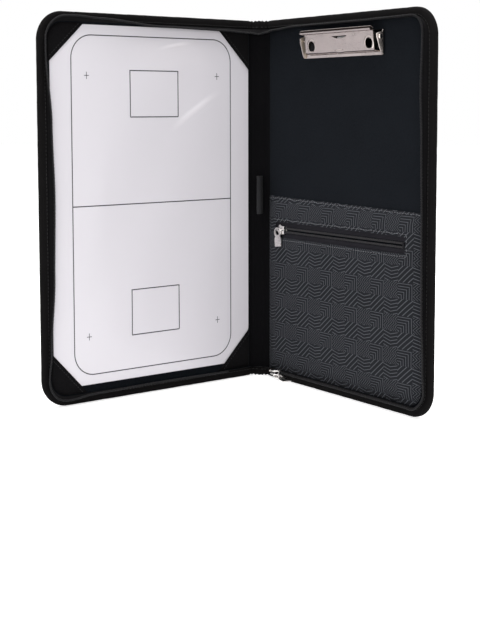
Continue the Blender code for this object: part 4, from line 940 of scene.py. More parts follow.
def standing_tape(half):
    """Zip tape: a flange under the binding and a free strip that stands up to the coil."""
    marks = stations(0.0, RIM, 2.5 * MM)
    flange = on_rim(half, marks, np.array([[2.0, 4.5, 7.0]]) * MM, np.array([[0.52, 0.55, 0.56]]) * MM)
    foot, top = tape_foot(half, marks), chain_line(half, marks)
    lean = chain_inset(half, marks)[1][:, None]
    wave = ripple(marks, (0.14, 31, 0.0), (0.06, 13, 1.0))[:, None]
    out = unit(np.cross(np.gradient(top, axis=0), top - foot))
    rows = [foot + (top - foot) * share + out * (wave - 0.5 * MM * lean) * math.sin(math.pi * share)
            for share in (0.0, 0.14, 0.3, 0.48, 0.66, 0.82, 0.93)]
    points = np.concatenate([flange, np.stack(rows, 1)], 1)
    uv = lattice(marks, running(points[len(marks) // 2]))
    obj = make_piece(half.name + "_standing_tape", grid_quads(points, uv), TAPE_CLOTH, slot="zip_tape")
    thicken(obj, TAPE_T, 0, 80)
    attach(obj, half, *half.nodes(("zip_tape",), ("zip_tape_top", "zip_tape_bottom")))


def turned_coil(name, line, across, upward, radii, pitch, wire, material, sides=6, per_turn=10):
    """Zip coil: one wire turned round a line, with the cord that fills it."""
    total = running(line)[-1]
    marks = np.linspace(0, total, int(round(total / pitch)) * per_turn + 1)
    both = resample(line, np.concatenate([line, across, upward], 1), marks)
    centre, a, b = both[:, :3], unit(both[:, 3:6]), unit(both[:, 6:])
    turn = (2 * math.pi * marks / pitch)[:, None]
    path = centre + radii[0] * np.cos(turn) * a + radii[1] * np.sin(turn) * b
    ahead = unit(np.gradient(path, axis=0))
    out = path - centre
    out = unit(out - ahead * np.sum(out * ahead, -1, keepdims=True))
    coil = rings_round(path, wire * out, wire * np.cross(ahead, out), sides)
    core = slice(None, None, per_turn // 2)
    around = np.arange(sides + 1) * wire
    tubes = [(coil, marks, around), (round_tube(centre[core], min(radii) * 0.75, sides), marks[core], around)]
    return tube_piece(name, tubes, material, 80, "zip_coil")


def rim_coil(half, begin):
    marks = stations(begin, RIM, 1.5 * MM)
    line = chain_line(half, marks)
    upward = unit(line - tape_foot(half, marks))
    across = unit(np.cross(np.gradient(line, axis=0), upward))
    radii = (0.72 * MM, 0.8 * MM)
    obj = turned_coil(half.name + "_turned_coil", line, across, upward, radii, 1.25 * MM, 0.33 * MM, COIL)
    attach(obj, half, *half.nodes(("zip_coil",), ("zip_coil_top", "zip_coil_bottom")))


# Front cover: woven band, trim, white sheet with its plan, corner pockets
STRIP_LOW = 8.3 * MM             # the strips run from binding to binding
POCKET_THREAD = (2.4 * MM, 1.1 * MM, 0.17 * MM)
HEM_THREAD = (2.2 * MM, 0.8 * MM, 0.16 * MM)


def row_on(half, name, u, z, w, thread, sizes=THREAD):
    """Stitches along a line (u, z) at levels w of a cover's inner or outer face."""
    path = half.cover(u, w, z)
    way = 1.0 if np.mean(w) > -1 * MM else -1.0
    normals = np.broadcast_to(way * half.inward(), path.shape)
    attach(make_piece(name, stitch_row(path, normals, sizes), thread), half.body)


def strip_on_shell(name, ends, thickness, material, slot):
    """Woven strip sewn on the front cover's padded face; returns it, its grid (u, z) and its levels."""
    columns = np.linspace(*ends, max(5, int((ends[1] - ends[0]) / (3.5 * MM))))
    u, z = np.meshgrid(columns, np.linspace(STRIP_LOW, HEIGHT - STRIP_LOW, 121), indexing="ij")
    edge = np.minimum(u - ends[0], ends[1] - u)
    pull = 0.18 * MM * hill(edge, 1.6 * MM, 0.9 * MM) * (1 + 0.5 * np.sin(z * 2 * math.pi / (3.5 * MM)))
    w = levels_on(SHELLS[FRONT], FRONT, u, z, -1) - thickness + pull + 0.25 * MM * (edge < 0.3 * MM)
    obj = sheet_piece(name, FRONT, u + FOLD_AT, w, z, material, slot, look=-1)
    thicken(obj, thickness - 0.1 * MM)
    return obj, u, z, w


def woven_band():
    """Wide band and the trim strip beside it, then the rows of stitches on both."""
    rows = []
    for name, node, ends, thickness, material, slot, insets in (
            ("front_laid_band", "front_woven_band", (18.5, 61), 0.7, BAND_CLOTH, "woven_band", (1.6,)),
            ("front_laid_trim", "front_trim_strip", (61.3, 68.3), 0.9, TRIM_CLOTH, "woven_fabric",
             (1.4, 5.6))):
        obj, *grid = strip_on_shell(name, np.array(ends) * MM, thickness * MM, material, slot)
        attach(obj, FRONT.body, node)
        rows += [(name, inset, *grid) for inset in insets]
    for name, inset, u, z, w in rows:
        line = np.full(u.shape[1], u[0, 0] + inset * MM)
        level = np.array([np.interp(line[0], u[:, k], w[:, k]) for k in range(len(line))])
        row_on(FRONT, "%s_stitches_%d" % (name, round(inset)), line, z[0], level, BLACK_THREAD)


def sheet_level(u, z):
    """Upper face of the white sheet, which waves a little between its pockets."""
    middle = smooth((u - 20 * MM) / (50 * MM)) * smooth((225 * MM - u) / (50 * MM))
    free = middle * smooth((z - 30 * MM) / (60 * MM)) * smooth((335 * MM - z) / (60 * MM))
    wave = ripple(u * 0.8 + z * 0.45, (0.16, 74, 0.6)) + ripple(z - u * 0.5, (0.12, 121, 2.2))
    across = (z - 277 * MM) + (u - 45 * MM) * 0.62
    crease = hill(across, 0, 5 * MM) * hill(u, 52 * MM, 30 * MM)
    return 1.3 * MM + free * (wave + 0.3 * MM) + 0.35 * MM * crease * middle


def white_sheet():
    low, high, near, far, radius = 16.3 * MM, 346 * MM, 4.3 * MM, 232.2 * MM, 15.5 * MM
    u = np.concatenate([np.linspace(near, far - radius, 46)[:-1], corner_columns(far, radius, 8)])
    drop = corner_drop(u, far, radius)
    z = (low + drop)[:, None] + (high - low - 2 * drop)[:, None] * np.linspace(0, 1, 67)
    u = np.broadcast_to(u[:, None], z.shape)
    obj = sheet_piece("tactics_board", FRONT, u + FOLD_AT, sheet_level(u, z), z, SHEET, "white_sheet")
    thicken(obj, SHEET_T)
    attach(obj, FRONT.body, "tactics_sheet")


# Court plan in mm of (u, z): its frame, the two penalty areas and the centres of four crosses
COURT = (27.2, 210.2, 25.4, 336.7)
COURT_RADIUS = 21.5
COURT_MIDDLE = 181.5
COURT_AREAS = (91.3, 146.5, ((262.5, 305.5), (57.5, 100.5)))
COURT_CROSSES = ((44.1, 301.3), (194.0, 300.3), (194.2, 60.9), (44.1, 61.5))
CROSS_HALF = (2.6, 3.2)
AREA_LINES = (2, 3)              # their places among the paths


def court_paths():
    """Lines of the court plan as (u, z) chains; the first is a closed loop."""
    left, right, low, high = COURT
    r = COURT_RADIUS
    loop = []
    for cu, cz, start in ((right - r, low + r, -90), (right - r, high - r, 0), (left + r, high - r, 90),
                          (left + r, low + r, 180)):
        angle = np.radians(start + 7.5 * np.arange(13))
        loop.append(np.stack([cu + r * np.cos(angle), cz + r * np.sin(angle)], -1))
    loop = np.concatenate(loop)
    paths = [np.concatenate([loop, loop[:1]]), [(left, COURT_MIDDLE), (right, COURT_MIDDLE)]]
    begin, end, areas = COURT_AREAS
    for bottom, top in areas:
        paths.append([(begin, bottom), (end, bottom), (end, top), (begin, top), (begin, bottom)])
    for cu, cz in COURT_CROSSES:
        for du, dz in ((CROSS_HALF[0], 0), (0, CROSS_HALF[1])):
            paths.append([(cu - du, cz - dz), (cu + du, cz + dz)])
    return [np.array(path) * MM for path in paths]


def court_lines():
    """Printed plan, as thin ribbons of ink that follow the sheet."""
    tubes = []
    for number, path in enumerate(court_paths()):
        marks = np.unique(np.concatenate([running(path), np.arange(0, running(path)[-1], 4 * MM)]))
        line = resample(path, path, marks)
        ahead = unit(np.gradient(line, axis=0))
        half_width = (0.5 if number <= AREA_LINES[1] else 0.3) * MM
        if number in AREA_LINES:
            ahead = unit(np.concatenate([line[1:], line[1:2]]) - np.concatenate([line[-2:-1], line[:-1]]))
            turn = np.abs(ahead).min(axis=1) > 0.3
            half_width = half_width * np.where(turn, math.sqrt(2), 1.0)[:, None]
        across = np.stack([-ahead[:, 1], ahead[:, 0]], -1) * half_width
        rings = []
        for way, rise in ((1, -0.02), (1, 0.035), (-1, 0.035), (-1, -0.02)):
            u, z = (line + way * across).T
            rings.append(FRONT.cover(u, sheet_level(u, z) + rise * MM, z))
        tubes.append((np.stack(rings, 1), marks, np.arange(5) * 0.4 * MM))
    attach(tube_piece("court_lines", tubes, INK, 30), FRONT.body)


# Level of a corner pocket by the distance from its sewn edges
CORNER_RISE = np.array(((0, 0.5), (0.4, 1.3), (0.9, 1.95), (1.7, 2.3))) * MM


def corner_pocket(name, node, corner, way, legs, rounded):
    """Fabric triangle over one corner of the sheet, sewn along two edges, with a folded diagonal hem."""
    steps = 28
    radius = 16.5 * MM if rounded else 0.8 * MM
    arc = np.linspace(0, math.pi / 2, 9)
    arc = np.stack([radius * (1 - np.sin(arc)), radius * (1 - np.cos(arc))], -1)
    outline = np.concatenate([[(legs[0], 0.0)], arc, [(0.0, legs[1])]])
    outline = resample(outline, outline, np.linspace(0, running(outline)[-1], steps + 1))
    along = np.linspace(0.02, 0.98, steps + 1)[:, None]
    hem = np.array([legs[0], 0.0]) * (1 - along) + np.array([0.0, legs[1]]) * along
    share = np.array([0, 0.03, 0.1, 0.2, 0.4, 0.6, 0.78, 0.92, 1.0])[None, :, None]
    grid = hem[:, None] * (1 - share) + outline[:, None] * share
    gu, gz = np.moveaxis(grid, -1, 0)
    if rounded:
        edge = np.min(np.linalg.norm(grid[:, :, None] - outline[None, None], axis=-1), axis=-1)
    else:
        edge = np.minimum(gu, gz)
    rise = np.interp(edge, *CORNER_RISE.T)
    inside = (1 - gu / legs[0] - gz / legs[1]) * legs[0] * legs[1] / math.hypot(*legs)
    swell = smooth(edge / (9 * MM)) * (0.5 + 0.5 * smooth(inside / (6 * MM)))
    pucker = ripple(gu - gz, (0.10, 9, corner[0] * 40), (0.12, 23, 1.0))
    fold = 0.22 * MM * hill(inside, 1.0 * MM, 1.2 * MM) - 0.14 * MM * hill(inside, 3.4 * MM, 0.7 * MM)
    w = rise + (0.3 * MM + pucker) * swell + fold * smooth(edge / (2 * MM))
    u, z = corner[0] + way[0] * gu, corner[1] + way[1] * gz
    obj = sheet_piece(name, FRONT, u + FOLD_AT, w, z, CORNER_CLOTH, "corner_pocket_fabric",
                      np.stack([u, z], -1))
    refine(obj)
    thicken(obj, CORNER_T)
    attach(obj, FRONT.body, node)
    legs[0] * legs[1] / 2
    seam = np.linspace(0.08, 0.92, 40)
    su = corner[0] + way[0] * (legs[0] * (1 - seam) - 2.4 * MM)
    sz = corner[1] + way[1] * (legs[1] * seam - 2.4 * MM)
    seam_w = np.interp(seam, along[:, 0], w[:, 3] - 0.05 * MM)
    row_on(FRONT, name + "_stitches", su, sz, seam_w, BLACK_THREAD, HEM_THREAD)


def corner_pockets():
    far, near, low, high = 234.5 * MM, 3.2 * MM, 9.5 * MM, 347.5 * MM
    for label, corner, way, legs, rounded in (
            ("outer_bottom", (far, low), (-1, 1), (37.5 * MM, 40 * MM), True),
            ("outer_top", (far, high), (-1, -1), (38 * MM, 36 * MM), True),
            ("spine_bottom", (near, low), (1, 1), (40 * MM, 40 * MM), False),
            ("spine_top", (near, high), (1, -1), (40.5 * MM, 40.5 * MM), False)):
        corner_pocket("corner_cloth_" + label, "corner_pocket_" + label, corner, way, legs, rounded)


# Back cover: zipped pocket
POCKET_LOW, POCKET_NEAR, POCKET_FAR, POCKET_RADIUS = 9.6 * MM, 3 * MM, 231 * MM, 16.4 * MM
WINDOW_U = (17.5 * MM, 211 * MM)
WINDOW_Z = (143 * MM, 158.5 * MM)
# Level of the pocket by the distance from its sewn edges
POCKET_RISE = np.array(((0.0, 1.0), (1.2, 1.2), (3.0, 1.7), (9.0, 3.75), (14.0, 4.05))) * MM


def pocket_top(u):
    """Height of the pocket's upper edge, which droops towards the fore-edge."""
    return 183.6 * MM - 3.6 * MM * (u - POCKET_NEAR) / (POCKET_FAR - POCKET_NEAR)


def pocket_edge(u, z):
    """Distance from the pocket's sewn outline."""
    r = POCKET_RADIUS
    du, dz = POCKET_FAR - u, z - POCKET_LOW
    inside = np.minimum(np.minimum(u - POCKET_NEAR, du), np.minimum(dz, pocket_top(u) - z))
    return np.where((du < r) & (dz < r), r - np.hypot(r - du, r - dz), inside)


def window_edge(u, z):
    """Distance from the zip window, outside it."""
    du = np.maximum(np.maximum(WINDOW_U[0] - u, u - WINDOW_U[1]), 0)
    dz = np.maximum(np.maximum(WINDOW_Z[0] - z, z - WINDOW_Z[1]), 0)
    return np.hypot(du, dz)


def faces_outside(outline, u, z):
    """Faces of a grid (u, z), and which have their middle outside an outline."""
    faces = grid_faces(*u.shape)
    middle = np.stack([u, z], -1).reshape(-1, 2)[faces].mean(axis=1)
    return faces, outline(*middle.T) > 0


def pocket_panel():
    """Printed pocket: one cloth panel that swells a little, with a hemmed window for its zip."""
    u = np.concatenate([np.linspace(POCKET_NEAR, WINDOW_U[0], 6)[:-1], np.linspace(*WINDOW_U, 44),
                        np.linspace(WINDOW_U[1], POCKET_FAR - POCKET_RADIUS, 3)[1:-1],
                        corner_columns(POCKET_FAR, POCKET_RADIUS, 9)])[:, None]
    lower, upper = np.linspace(0, 1, 32), np.linspace(0, 1, 7)
    below = (POCKET_LOW + corner_drop(u, POCKET_FAR, POCKET_RADIUS)) * (1 - lower) + WINDOW_Z[0] * lower
    across = np.broadcast_to(np.linspace(*WINDOW_Z, 5)[1:-1], (len(u), 3))
    above = WINDOW_Z[1] * (1 - upper) + pocket_top(u) * upper
    z = np.concatenate([below, across, above], 1)
    u = np.broadcast_to(u, z.shape)
    edge, hole = pocket_edge(u, z), window_edge(u, z)
    w = np.interp(edge, *POCKET_RISE.T)
    face = smooth((edge - 12 * MM) / (12 * MM)) * smooth((hole - 3 * MM) / (12 * MM))
    w = w + face * (0.15 * MM + ripple(u * 0.9 - z * 0.4, (0.18, 68, 0.5)) + ripple(z, (0.12, 47, 1.0)))
    _, keep = faces_outside(window_edge, u, z)
    part, used = kept_part(BACK.cover(u, w, z), np.stack([u, z], -1), keep)
    obj = make_piece("pocket_cloth", part, PRINT_CLOTH, slot="printed_pocket_fabric")
    face_towards(obj, BACK.inward())
    pinned = ((edge < 4 * MM) | (hole < 1 * MM)).ravel()[used]
    inflate(obj, pinned, pressure=0.8, cap=1.3 * MM, shrink=-0.004)
    refine(obj)
    thicken(obj, POCKET_T)
    attach(obj, BACK.body, "pocket_panel")
    return obj


def pocket_seams(cloth):
    """Stitches along the pocket's sewn edges and light ones along its top and round its window."""
    surface = surface_of(cloth)
    out = 2.2 * MM
    left, right = WINDOW_U[0] - out, WINDOW_U[1] + out
    low, high = WINDOW_Z[0] - out, WINDOW_Z[1] + out
    side, bottom = POCKET_FAR - 2 * MM, POCKET_LOW + 2 * MM
    top = [(u, pocket_top(u) - 1.7 * MM) for u in (5 * MM, 228 * MM)]
    for label, start, end, count, thread in (
            ("top", *top, 60, GREY_THREAD),
            ("side", (side, 175 * MM), (side, 30 * MM), 40, BLACK_THREAD),
            ("bottom", (22 * MM, bottom), (213 * MM, bottom), 60, BLACK_THREAD),
            ("window_above", (left, high), (right, high), 60, GREY_THREAD),
            ("window_below", (left, low), (right, low), 60, GREY_THREAD),
            ("window_end", (right, low), (right, high), 8, GREY_THREAD)):
        u, z = np.linspace(start, end, count).T
        row_on(BACK, "pocket_seam_" + label, u, z, levels_on(surface, BACK, u, z, 1), thread, POCKET_THREAD)


def pocket_zip():
    middle = sum(WINDOW_Z) / 2
    for label, way in (("lower", -1), ("upper", 1)):
        z = middle + way * np.array([3.25, 4.2, 5.6, 7.2, 9.0, 10.7]) * MM
        u, z = np.meshgrid(np.linspace(WINDOW_U[0], 214 * MM, 80), z, indexing="ij")
        w = 2.95 * MM + ripple(u, (0.08, 37, way))
        obj = sheet_piece("pocket_tape_" + label, BACK, u + FOLD_AT, w, z, POCKET_TAPE, "zip_tape")
        thicken(obj, TAPE_T)
        attach(obj, BACK.body, "pocket_zip_tape_" + label)
        line = BACK.cover(np.linspace(21.5 * MM, 207.0 * MM, 200), 2.7 * MM, middle + way * 1.8 * MM)
        across, upward = (np.broadcast_to(v, line.shape) for v in (UP * way, BACK.inward()))
        radii = (0.8 * MM, 0.76 * MM)
        coil = turned_coil("pocket_coil_" + label, line, across, upward, radii, 1.2 * MM, 0.3 * MM,
                           POCKET_COIL)
        attach(coil, BACK.body, "pocket_zip_coil_" + label)


def worked_copy(node, name, material, width):
    """A CAD piece of the back cover with its sharp edges rounded."""
    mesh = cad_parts[node].data.copy()
    mesh.materials.clear()
    mesh.materials.append(material)
    obj = bpy.data.objects.new(name, mesh)
    bpy.context.scene.collection.objects.link(obj)
    work = bmesh.new()
    work.from_mesh(mesh)
    bmesh.ops.remove_doubles(work, verts=work.verts, dist=0.005 * MM)
    bmesh.ops.dissolve_limit(work, angle_limit=math.radians(0.6), verts=work.verts, edges=work.edges)
    work.to_mesh(mesh)
    work.free()
    for face in mesh.polygons:
        face.material_index = 0
    if mesh.has_custom_normals:
        mesh.attributes.remove(mesh.attributes["custom_normal"])
    break_edges(obj, width, 32, 38)
    attach(obj, BACK.body, node)


def metal_pieces():
    for node, name, material, width in (
            ("clip_rivet_left", "clip_rivet_domed_left", NICKEL, 0.15),
            ("clip_rivet_right", "clip_rivet_domed_right", NICKEL, 0.15),
            ("main_zip_stop", "main_stop_bent", NICKEL, 0.25),
            ("pocket_zip_stop_left", "pocket_stop_bent_left", BLACK_METAL, 0.25),
            ("pocket_zip_stop_right", "pocket_stop_bent_right", BLACK_METAL, 0.25)):
        worked_copy(node, name, material, width * MM)


# Clip lever: one pressed strip with a jaw, two windows, a half-moon slot and a rolled finger edge
LEVER_ENDS = (68.5 * MM, 171.6 * MM)
LEVER_NECK = 3 * MM              # the plate is this much shorter than the roll, at its near end
LEVER_MIDDLE = 122 * MM
LEVER_WINDOWS = (81.6 * MM, 165.2 * MM)
WINDOW_MIDDLE = 328 * MM
WINDOW_HALF = (5 * MM, 5.1 * MM)
SLOT_MIDDLE, SLOT_TOP, SLOT_HALF, SLOT_SAG = 124 * MM, 336.2 * MM, 11 * MM, 2.3 * MM
FLAT_START = 323.2 * MM
FLAT_END = ROLL[0] - 1.1 * MM
LEVER_FLAT = ((322.5 * MM, 7.2 * MM), (ROLL[0] - 0.3 * MM, 9.13 * MM))
JAW = np.array([(320.2, 2.3), (320.55, 2.08), (320.9, 2.25), (321.25, 4.2), (321.6, 6.05),
                (321.95, 6.8)]) * MM
PIVOT = (333.5 * MM, 4.7 * MM)
CHEEK_RADIUS = 2.8 * MM
LEVER_T = 0.9 * MM


def lever_profile():
    """Middle line (z, w) of the strip at even steps, from the jaw's lip to the end of the roll."""
    turn = np.linspace(-100, 192, 60)
    radius = ROLL[2] - 0.5 * MM * hill(turn, 67, 12)
    angle = np.radians(turn)
    roll = np.stack([ROLL[0] + radius * np.cos(angle), ROLL[1] + radius * np.sin(angle)], -1)
    line = np.concatenate([JAW, LEVER_FLAT[:1], roll])
    return resample(line, line, np.linspace(0, running(line)[-1], 96))


def window_gap(u, z):
    """Distance from the nearer oval window of the lever, below 0 inside it."""
    side = np.minimum(np.abs(u - LEVER_WINDOWS[0]), np.abs(u - LEVER_WINDOWS[1]))
    return (np.hypot(side / WINDOW_HALF[0], (z - WINDOW_MIDDLE) / WINDOW_HALF[1]) - 1) * sum(WINDOW_HALF) / 2


def opening_gap(u, z):
    """Below 0 inside a window or the half-moon slot."""
    share = (u - SLOT_MIDDLE) / SLOT_HALF
    slot = np.maximum(z - SLOT_TOP, SLOT_TOP - SLOT_SAG * (1 - share * share) - z)
    return np.minimum(window_gap(u, z), slot)


def close_steps(start, end, wide, fine, spots, reach):
    """Places from start to end, wide apart but fine near the given spots."""
    places = [start]
    while places[-1] < end:
        near = min(abs(places[-1] - spot) for spot in spots)
        places.append(places[-1] + (fine if near < reach else wide))
    places[-1] = end
    return np.array(places)


def cut_opening(outline, u, z, whole=None):
    """Faces of a grid (u, z) that stay outside an outline, and the grid with its cut edge on the outline."""
    faces, keep = faces_outside(outline, u, z)
    if whole is not None:
        keep = keep | whole.ravel()[faces].any(axis=1)
    edge = np.zeros(u.size, bool)
    edge[np.intersect1d(faces[keep], faces[~keep])] = True
    edge = edge.reshape(u.shape)
    small = 0.01 * MM
    for _ in range(4):
        gap = outline(u, z)
        slope = np.stack([outline(u + small, z) - gap, outline(u, z + small) - gap]) / small
        step = gap / np.maximum((slope ** 2).sum(0), 0.05)
        u, z = np.where(edge, u - step * slope[0], u), np.where(edge, z - step * slope[1], z)
    return keep, u, z


def lever_cheek(u):
    """Cheek of the lever beside the pivot, as a flat sheet at one u."""
    angle = np.radians(np.linspace(-180, 0, 9))
    round_part = np.array(PIVOT) + CHEEK_RADIUS * np.stack([np.cos(angle), np.sin(angle)], -1)
    under = np.concatenate([[(324.2 * MM, 7.2 * MM)], round_part, [(338.8 * MM, 8.6 * MM)]])
    marks = np.linspace(0.01, 0.99, 24)
    under = resample(under, under, marks * running(under)[-1])
    upper = np.stack([324 * MM + 15 * MM * marks, 7.35 * MM + 1.5 * MM * marks], -1)
    share = np.linspace(0, 1, 4)[None, :, None]
    grid = upper[:, None] * (1 - share) + under[:, None] * share
    return grid_quads(BACK.cover(u, grid[..., 1], grid[..., 0]), grid)


def clip_lever():
    profile = lever_profile()
    fine_at = (*LEVER_WINDOWS, SLOT_MIDDLE - 4 * MM, SLOT_MIDDLE + 4 * MM)
    across = close_steps(*LEVER_ENDS, 2.5 * MM, 0.6 * MM, fine_at, 9 * MM)
    u, row = np.meshgrid(across, np.arange(len(profile)), indexing="ij")
    z, w = profile[row, 0], profile[row, 1]
    below = smooth((ROLL[0] - 1.0 * MM - z) / (1.2 * MM)) * (row < np.argmax(profile[:, 0] > ROLL[0]))
    u = u + LEVER_NECK * below * (1 - smooth((u - LEVER_ENDS[0]) / (8 * MM)))
    flat = (z > FLAT_START) & (row < np.argmax(profile[:, 0] > FLAT_END))
    keep, u, z = cut_opening(opening_gap, u, z, ~flat)
    w = np.where(flat, np.interp(z, *np.array(LEVER_FLAT).T), w)
    rims = 0.5 * MM * hill(window_gap(u, z), 0.55 * MM, 0.7 * MM)
    arch = 0.18 * MM * smooth((z - 323 * MM) / (9 * MM)) * smooth((FLAT_END - z) / (9 * MM))
    dent = 0.9 * MM * hill(u, LEVER_MIDDLE, 5.5 * MM) * hill(z, 322.4 * MM, 1.0 * MM)
    lift = flat * rims + arch * flat + dent * (row < len(profile) // 2)
    ahead = unit(np.gradient(profile, axis=0))[row]
    z, w = z - ahead[..., 1] * lift, w + ahead[..., 0] * lift
    strip, _ = kept_part(BACK.cover(u, w, z), np.stack([u, z], -1), keep)
    cheeks = [lever_cheek(LEVER_ENDS[0] + LEVER_NECK + LEVER_T / 2), lever_cheek(LEVER_ENDS[1] - LEVER_T / 2)]
    obj = make_piece("clip_lever_pressed", join_parts([strip] + cheeks), LEVER_STEEL, slot="nickel")
    obj.data.materials.append(SHADED_STEEL)
    for face in obj.data.polygons[len(strip[1]):]:
        face.material_index = 1
    thicken(obj, LEVER_T, 0, 40)
    break_edges(obj, 0.14 * MM)
    attach(obj, "clip_lever", "clip_lever")


BASE = (62 * MM, 177.5 * MM, 317.5 * MM, 340 * MM)       # ends in u, then in z
BASE_T, BASE_BEND, BASE_LEVEL = 1 * MM, 1 * MM, 0.3 * MM
EAR_INSIDE = 2.6 * MM            # the near ear's inner face is nearer to the plate's end than this
EAR_LEANS = (6, 20)
# Edge of an ear, as (z, level) in mm
EAR = ((317.5, 0.3), (318.7, 1.4), (323.3, 3.2), (332.8, 6.0), (335.9, 6.2), (337.2, 4.4), (337.8, 0.8),
       (340, 0.3))


def clip_base():
    """Base plate pressed from one sheet, with an ear bent up at each end to hold the rod."""
    z = np.linspace(BASE[2], BASE[3], 76)
    peak = np.interp(z, *(np.array(EAR) * MM).T)
    middle = BASE_LEVEL + BASE_T / 2
    halves = []
    for end, way, lean in ((BASE[0], -1, EAR_LEANS[0]), (BASE[1], 1, EAR_LEANS[1])):
        turn = np.radians(np.linspace(-90, lean, 10))
        centre = end - way * (BASE_BEND + BASE_T / 2)
        u = np.broadcast_to(centre + way * BASE_BEND * np.cos(turn), (len(z), len(turn)))
        w = np.broadcast_to(middle + BASE_BEND + BASE_BEND * np.sin(turn), (len(z), len(turn)))
        up = peak[:, None] * np.linspace(0, 1, 8)[None, 1:]
        u = np.concatenate([u, u[:, -1:] - way * up * math.sin(math.radians(lean))], 1)
        w = np.concatenate([w, w[:, -1:] + up * math.cos(math.radians(lean))], 1)
        halves.append((u, w) if way > 0 else (u[:, ::-1], w[:, ::-1]))
    (near_u, near_w), (far_u, far_w) = halves
    plate = np.linspace(near_u[0, -1], far_u[0, 0], 24)[1:-1]
    u = np.concatenate([near_u, np.broadcast_to(plate, (len(z), len(plate))), far_u], 1)
    w = np.concatenate([near_w, np.full((len(z), len(plate)), middle), far_w], 1)
    z = np.broadcast_to(z[:, None], u.shape)
    part = grid_quads(BACK.cover(u, w, z), np.stack([u, z], -1))
    obj = make_piece("clip_base_pressed", part, BASE_STEEL, slot="nickel")
    thicken(obj, BASE_T, 0, 40)
    break_edges(obj, 0.16 * MM)
    # The near ear's inner face takes the painted light copy of the plate.
    obj.data.materials.append(LIT_EAR_STEEL)
    along = unit(BACK.cover(1.0, 0.0, 0.0) - BACK.cover(0.0, 0.0, 0.0))
    start = float(BACK.cover(BASE[0] + EAR_INSIDE, 0.0, 0.0) @ along)
    for face in obj.data.polygons:
        centre, normal = np.array(face.center), np.array(face.normal)
        face.material_index = int(centre @ along < start and normal @ along > 0.3)
    attach(obj, BACK.body, "clip_base_plate")


def clip_rod():
    """Pivot rod through both ears, with a domed head at each end."""
    start, end = BASE[0] - 1.2 * MM, BASE[1] + 0.2 * MM
    head = ((0, 0.9), (0.15, 1.5), (0.5, 1.95), (0.95, 2.1), (1.2, 2.05), (1.25, 1.2))
    head, radius = np.array(head).T * MM
    path = BACK.cover(np.concatenate([start + head, end - head[::-1]]), PIVOT[1], PIVOT[0])
    rings = round_tube(path, np.concatenate([radius, radius[::-1]]), 20)
    attach(solid_piece("clip_rod_turned", [rings], NICKEL, 50), BACK.body, "clip_pivot_rod")


# Zip sliders and pulls, in their own frame in mm: x along the chain or across the pull, z outwards
PLATE_LEVEL, FLANGE = 1.85, (3.6, 1.27)
CROWN_LEG, CROWN_FAR = 3.2, 4.7  # from a slider's middle to its crown's legs; a pull turns on the first
CROWN_FOOT, CROWN_BEND, CROWN_LEVEL = 2.0, 1.2, 4.0
EYE = (5.2, -2.9)                # radius and middle of a pull's round top
EYE_HOLE = (-2.2, 3.5, 3.2)      # middle and half axes of its hole
TAB_HALF, TAB_TIP, TAB_CORNER, PULL_T = 5.2, -16.6, 0.9, 1.1
PANEL_RIM, PANEL_TOP, PANEL_DEEP = 1.5, -7.6, 0.3

# Places of the sliders on the back cover in mm: u, then (w, z) of the chain's middle
SLIDER_U = 27.0
POCKET_CHAIN, POCKET_CROWN_W, POCKET_PULL_LEAN = (2.7, 150.75), 6.1, math.radians(6)
MAIN_CHAIN, MAIN_CROWN_Z, MAIN_PULL_EYE, MAIN_DROOP = (9.0, 8.7), 5.3, 1.6, math.radians(9)


def bar(x, half_width, half_thick, soft):
    """Closed bar along x with its edges rounded: rings of a rounded section; half_width may vary."""
    turn = np.radians((0, 30, 60, 80))
    x = np.concatenate([x[0] + soft * (1 - np.sin(turn[::-1])), x[1:-1], x[-1] - soft * (1 - np.sin(turn))])
    cut = np.zeros(len(x))
    cut[:4] = soft * (1 - np.cos(turn[::-1]))
    cut[-4:] = soft * (1 - np.cos(turn))
    around = np.radians(np.array([0, 30, 60, 90, 90, 120, 150, 180, 180, 210, 240, 270, 270, 300, 330, 360]))
    quarter = np.radians([15, 105, 195, 285]).repeat(4)
    wide = np.broadcast_to(half_width, x.shape) if np.isscalar(half_width) else half_width(x)
    round_part = (soft - cut)[:, None]
    y = np.sign(np.cos(quarter)) * (wide[:, None] - soft) + round_part * np.cos(around)
    z = np.sign(np.sin(quarter)) * (half_thick - soft) + round_part * np.sin(around)
    return np.stack(np.broadcast_arrays(x[:, None], y, z), -1)


def plate_half(x):
    """Half width of a slider's plate: straight body, a lobe in its middle and a drawn-in nose."""
    return 4.1 - 2.4 * smooth((x - 1.8) / 2.6) + 1.1 * hill(x, 0.8, 1.4)


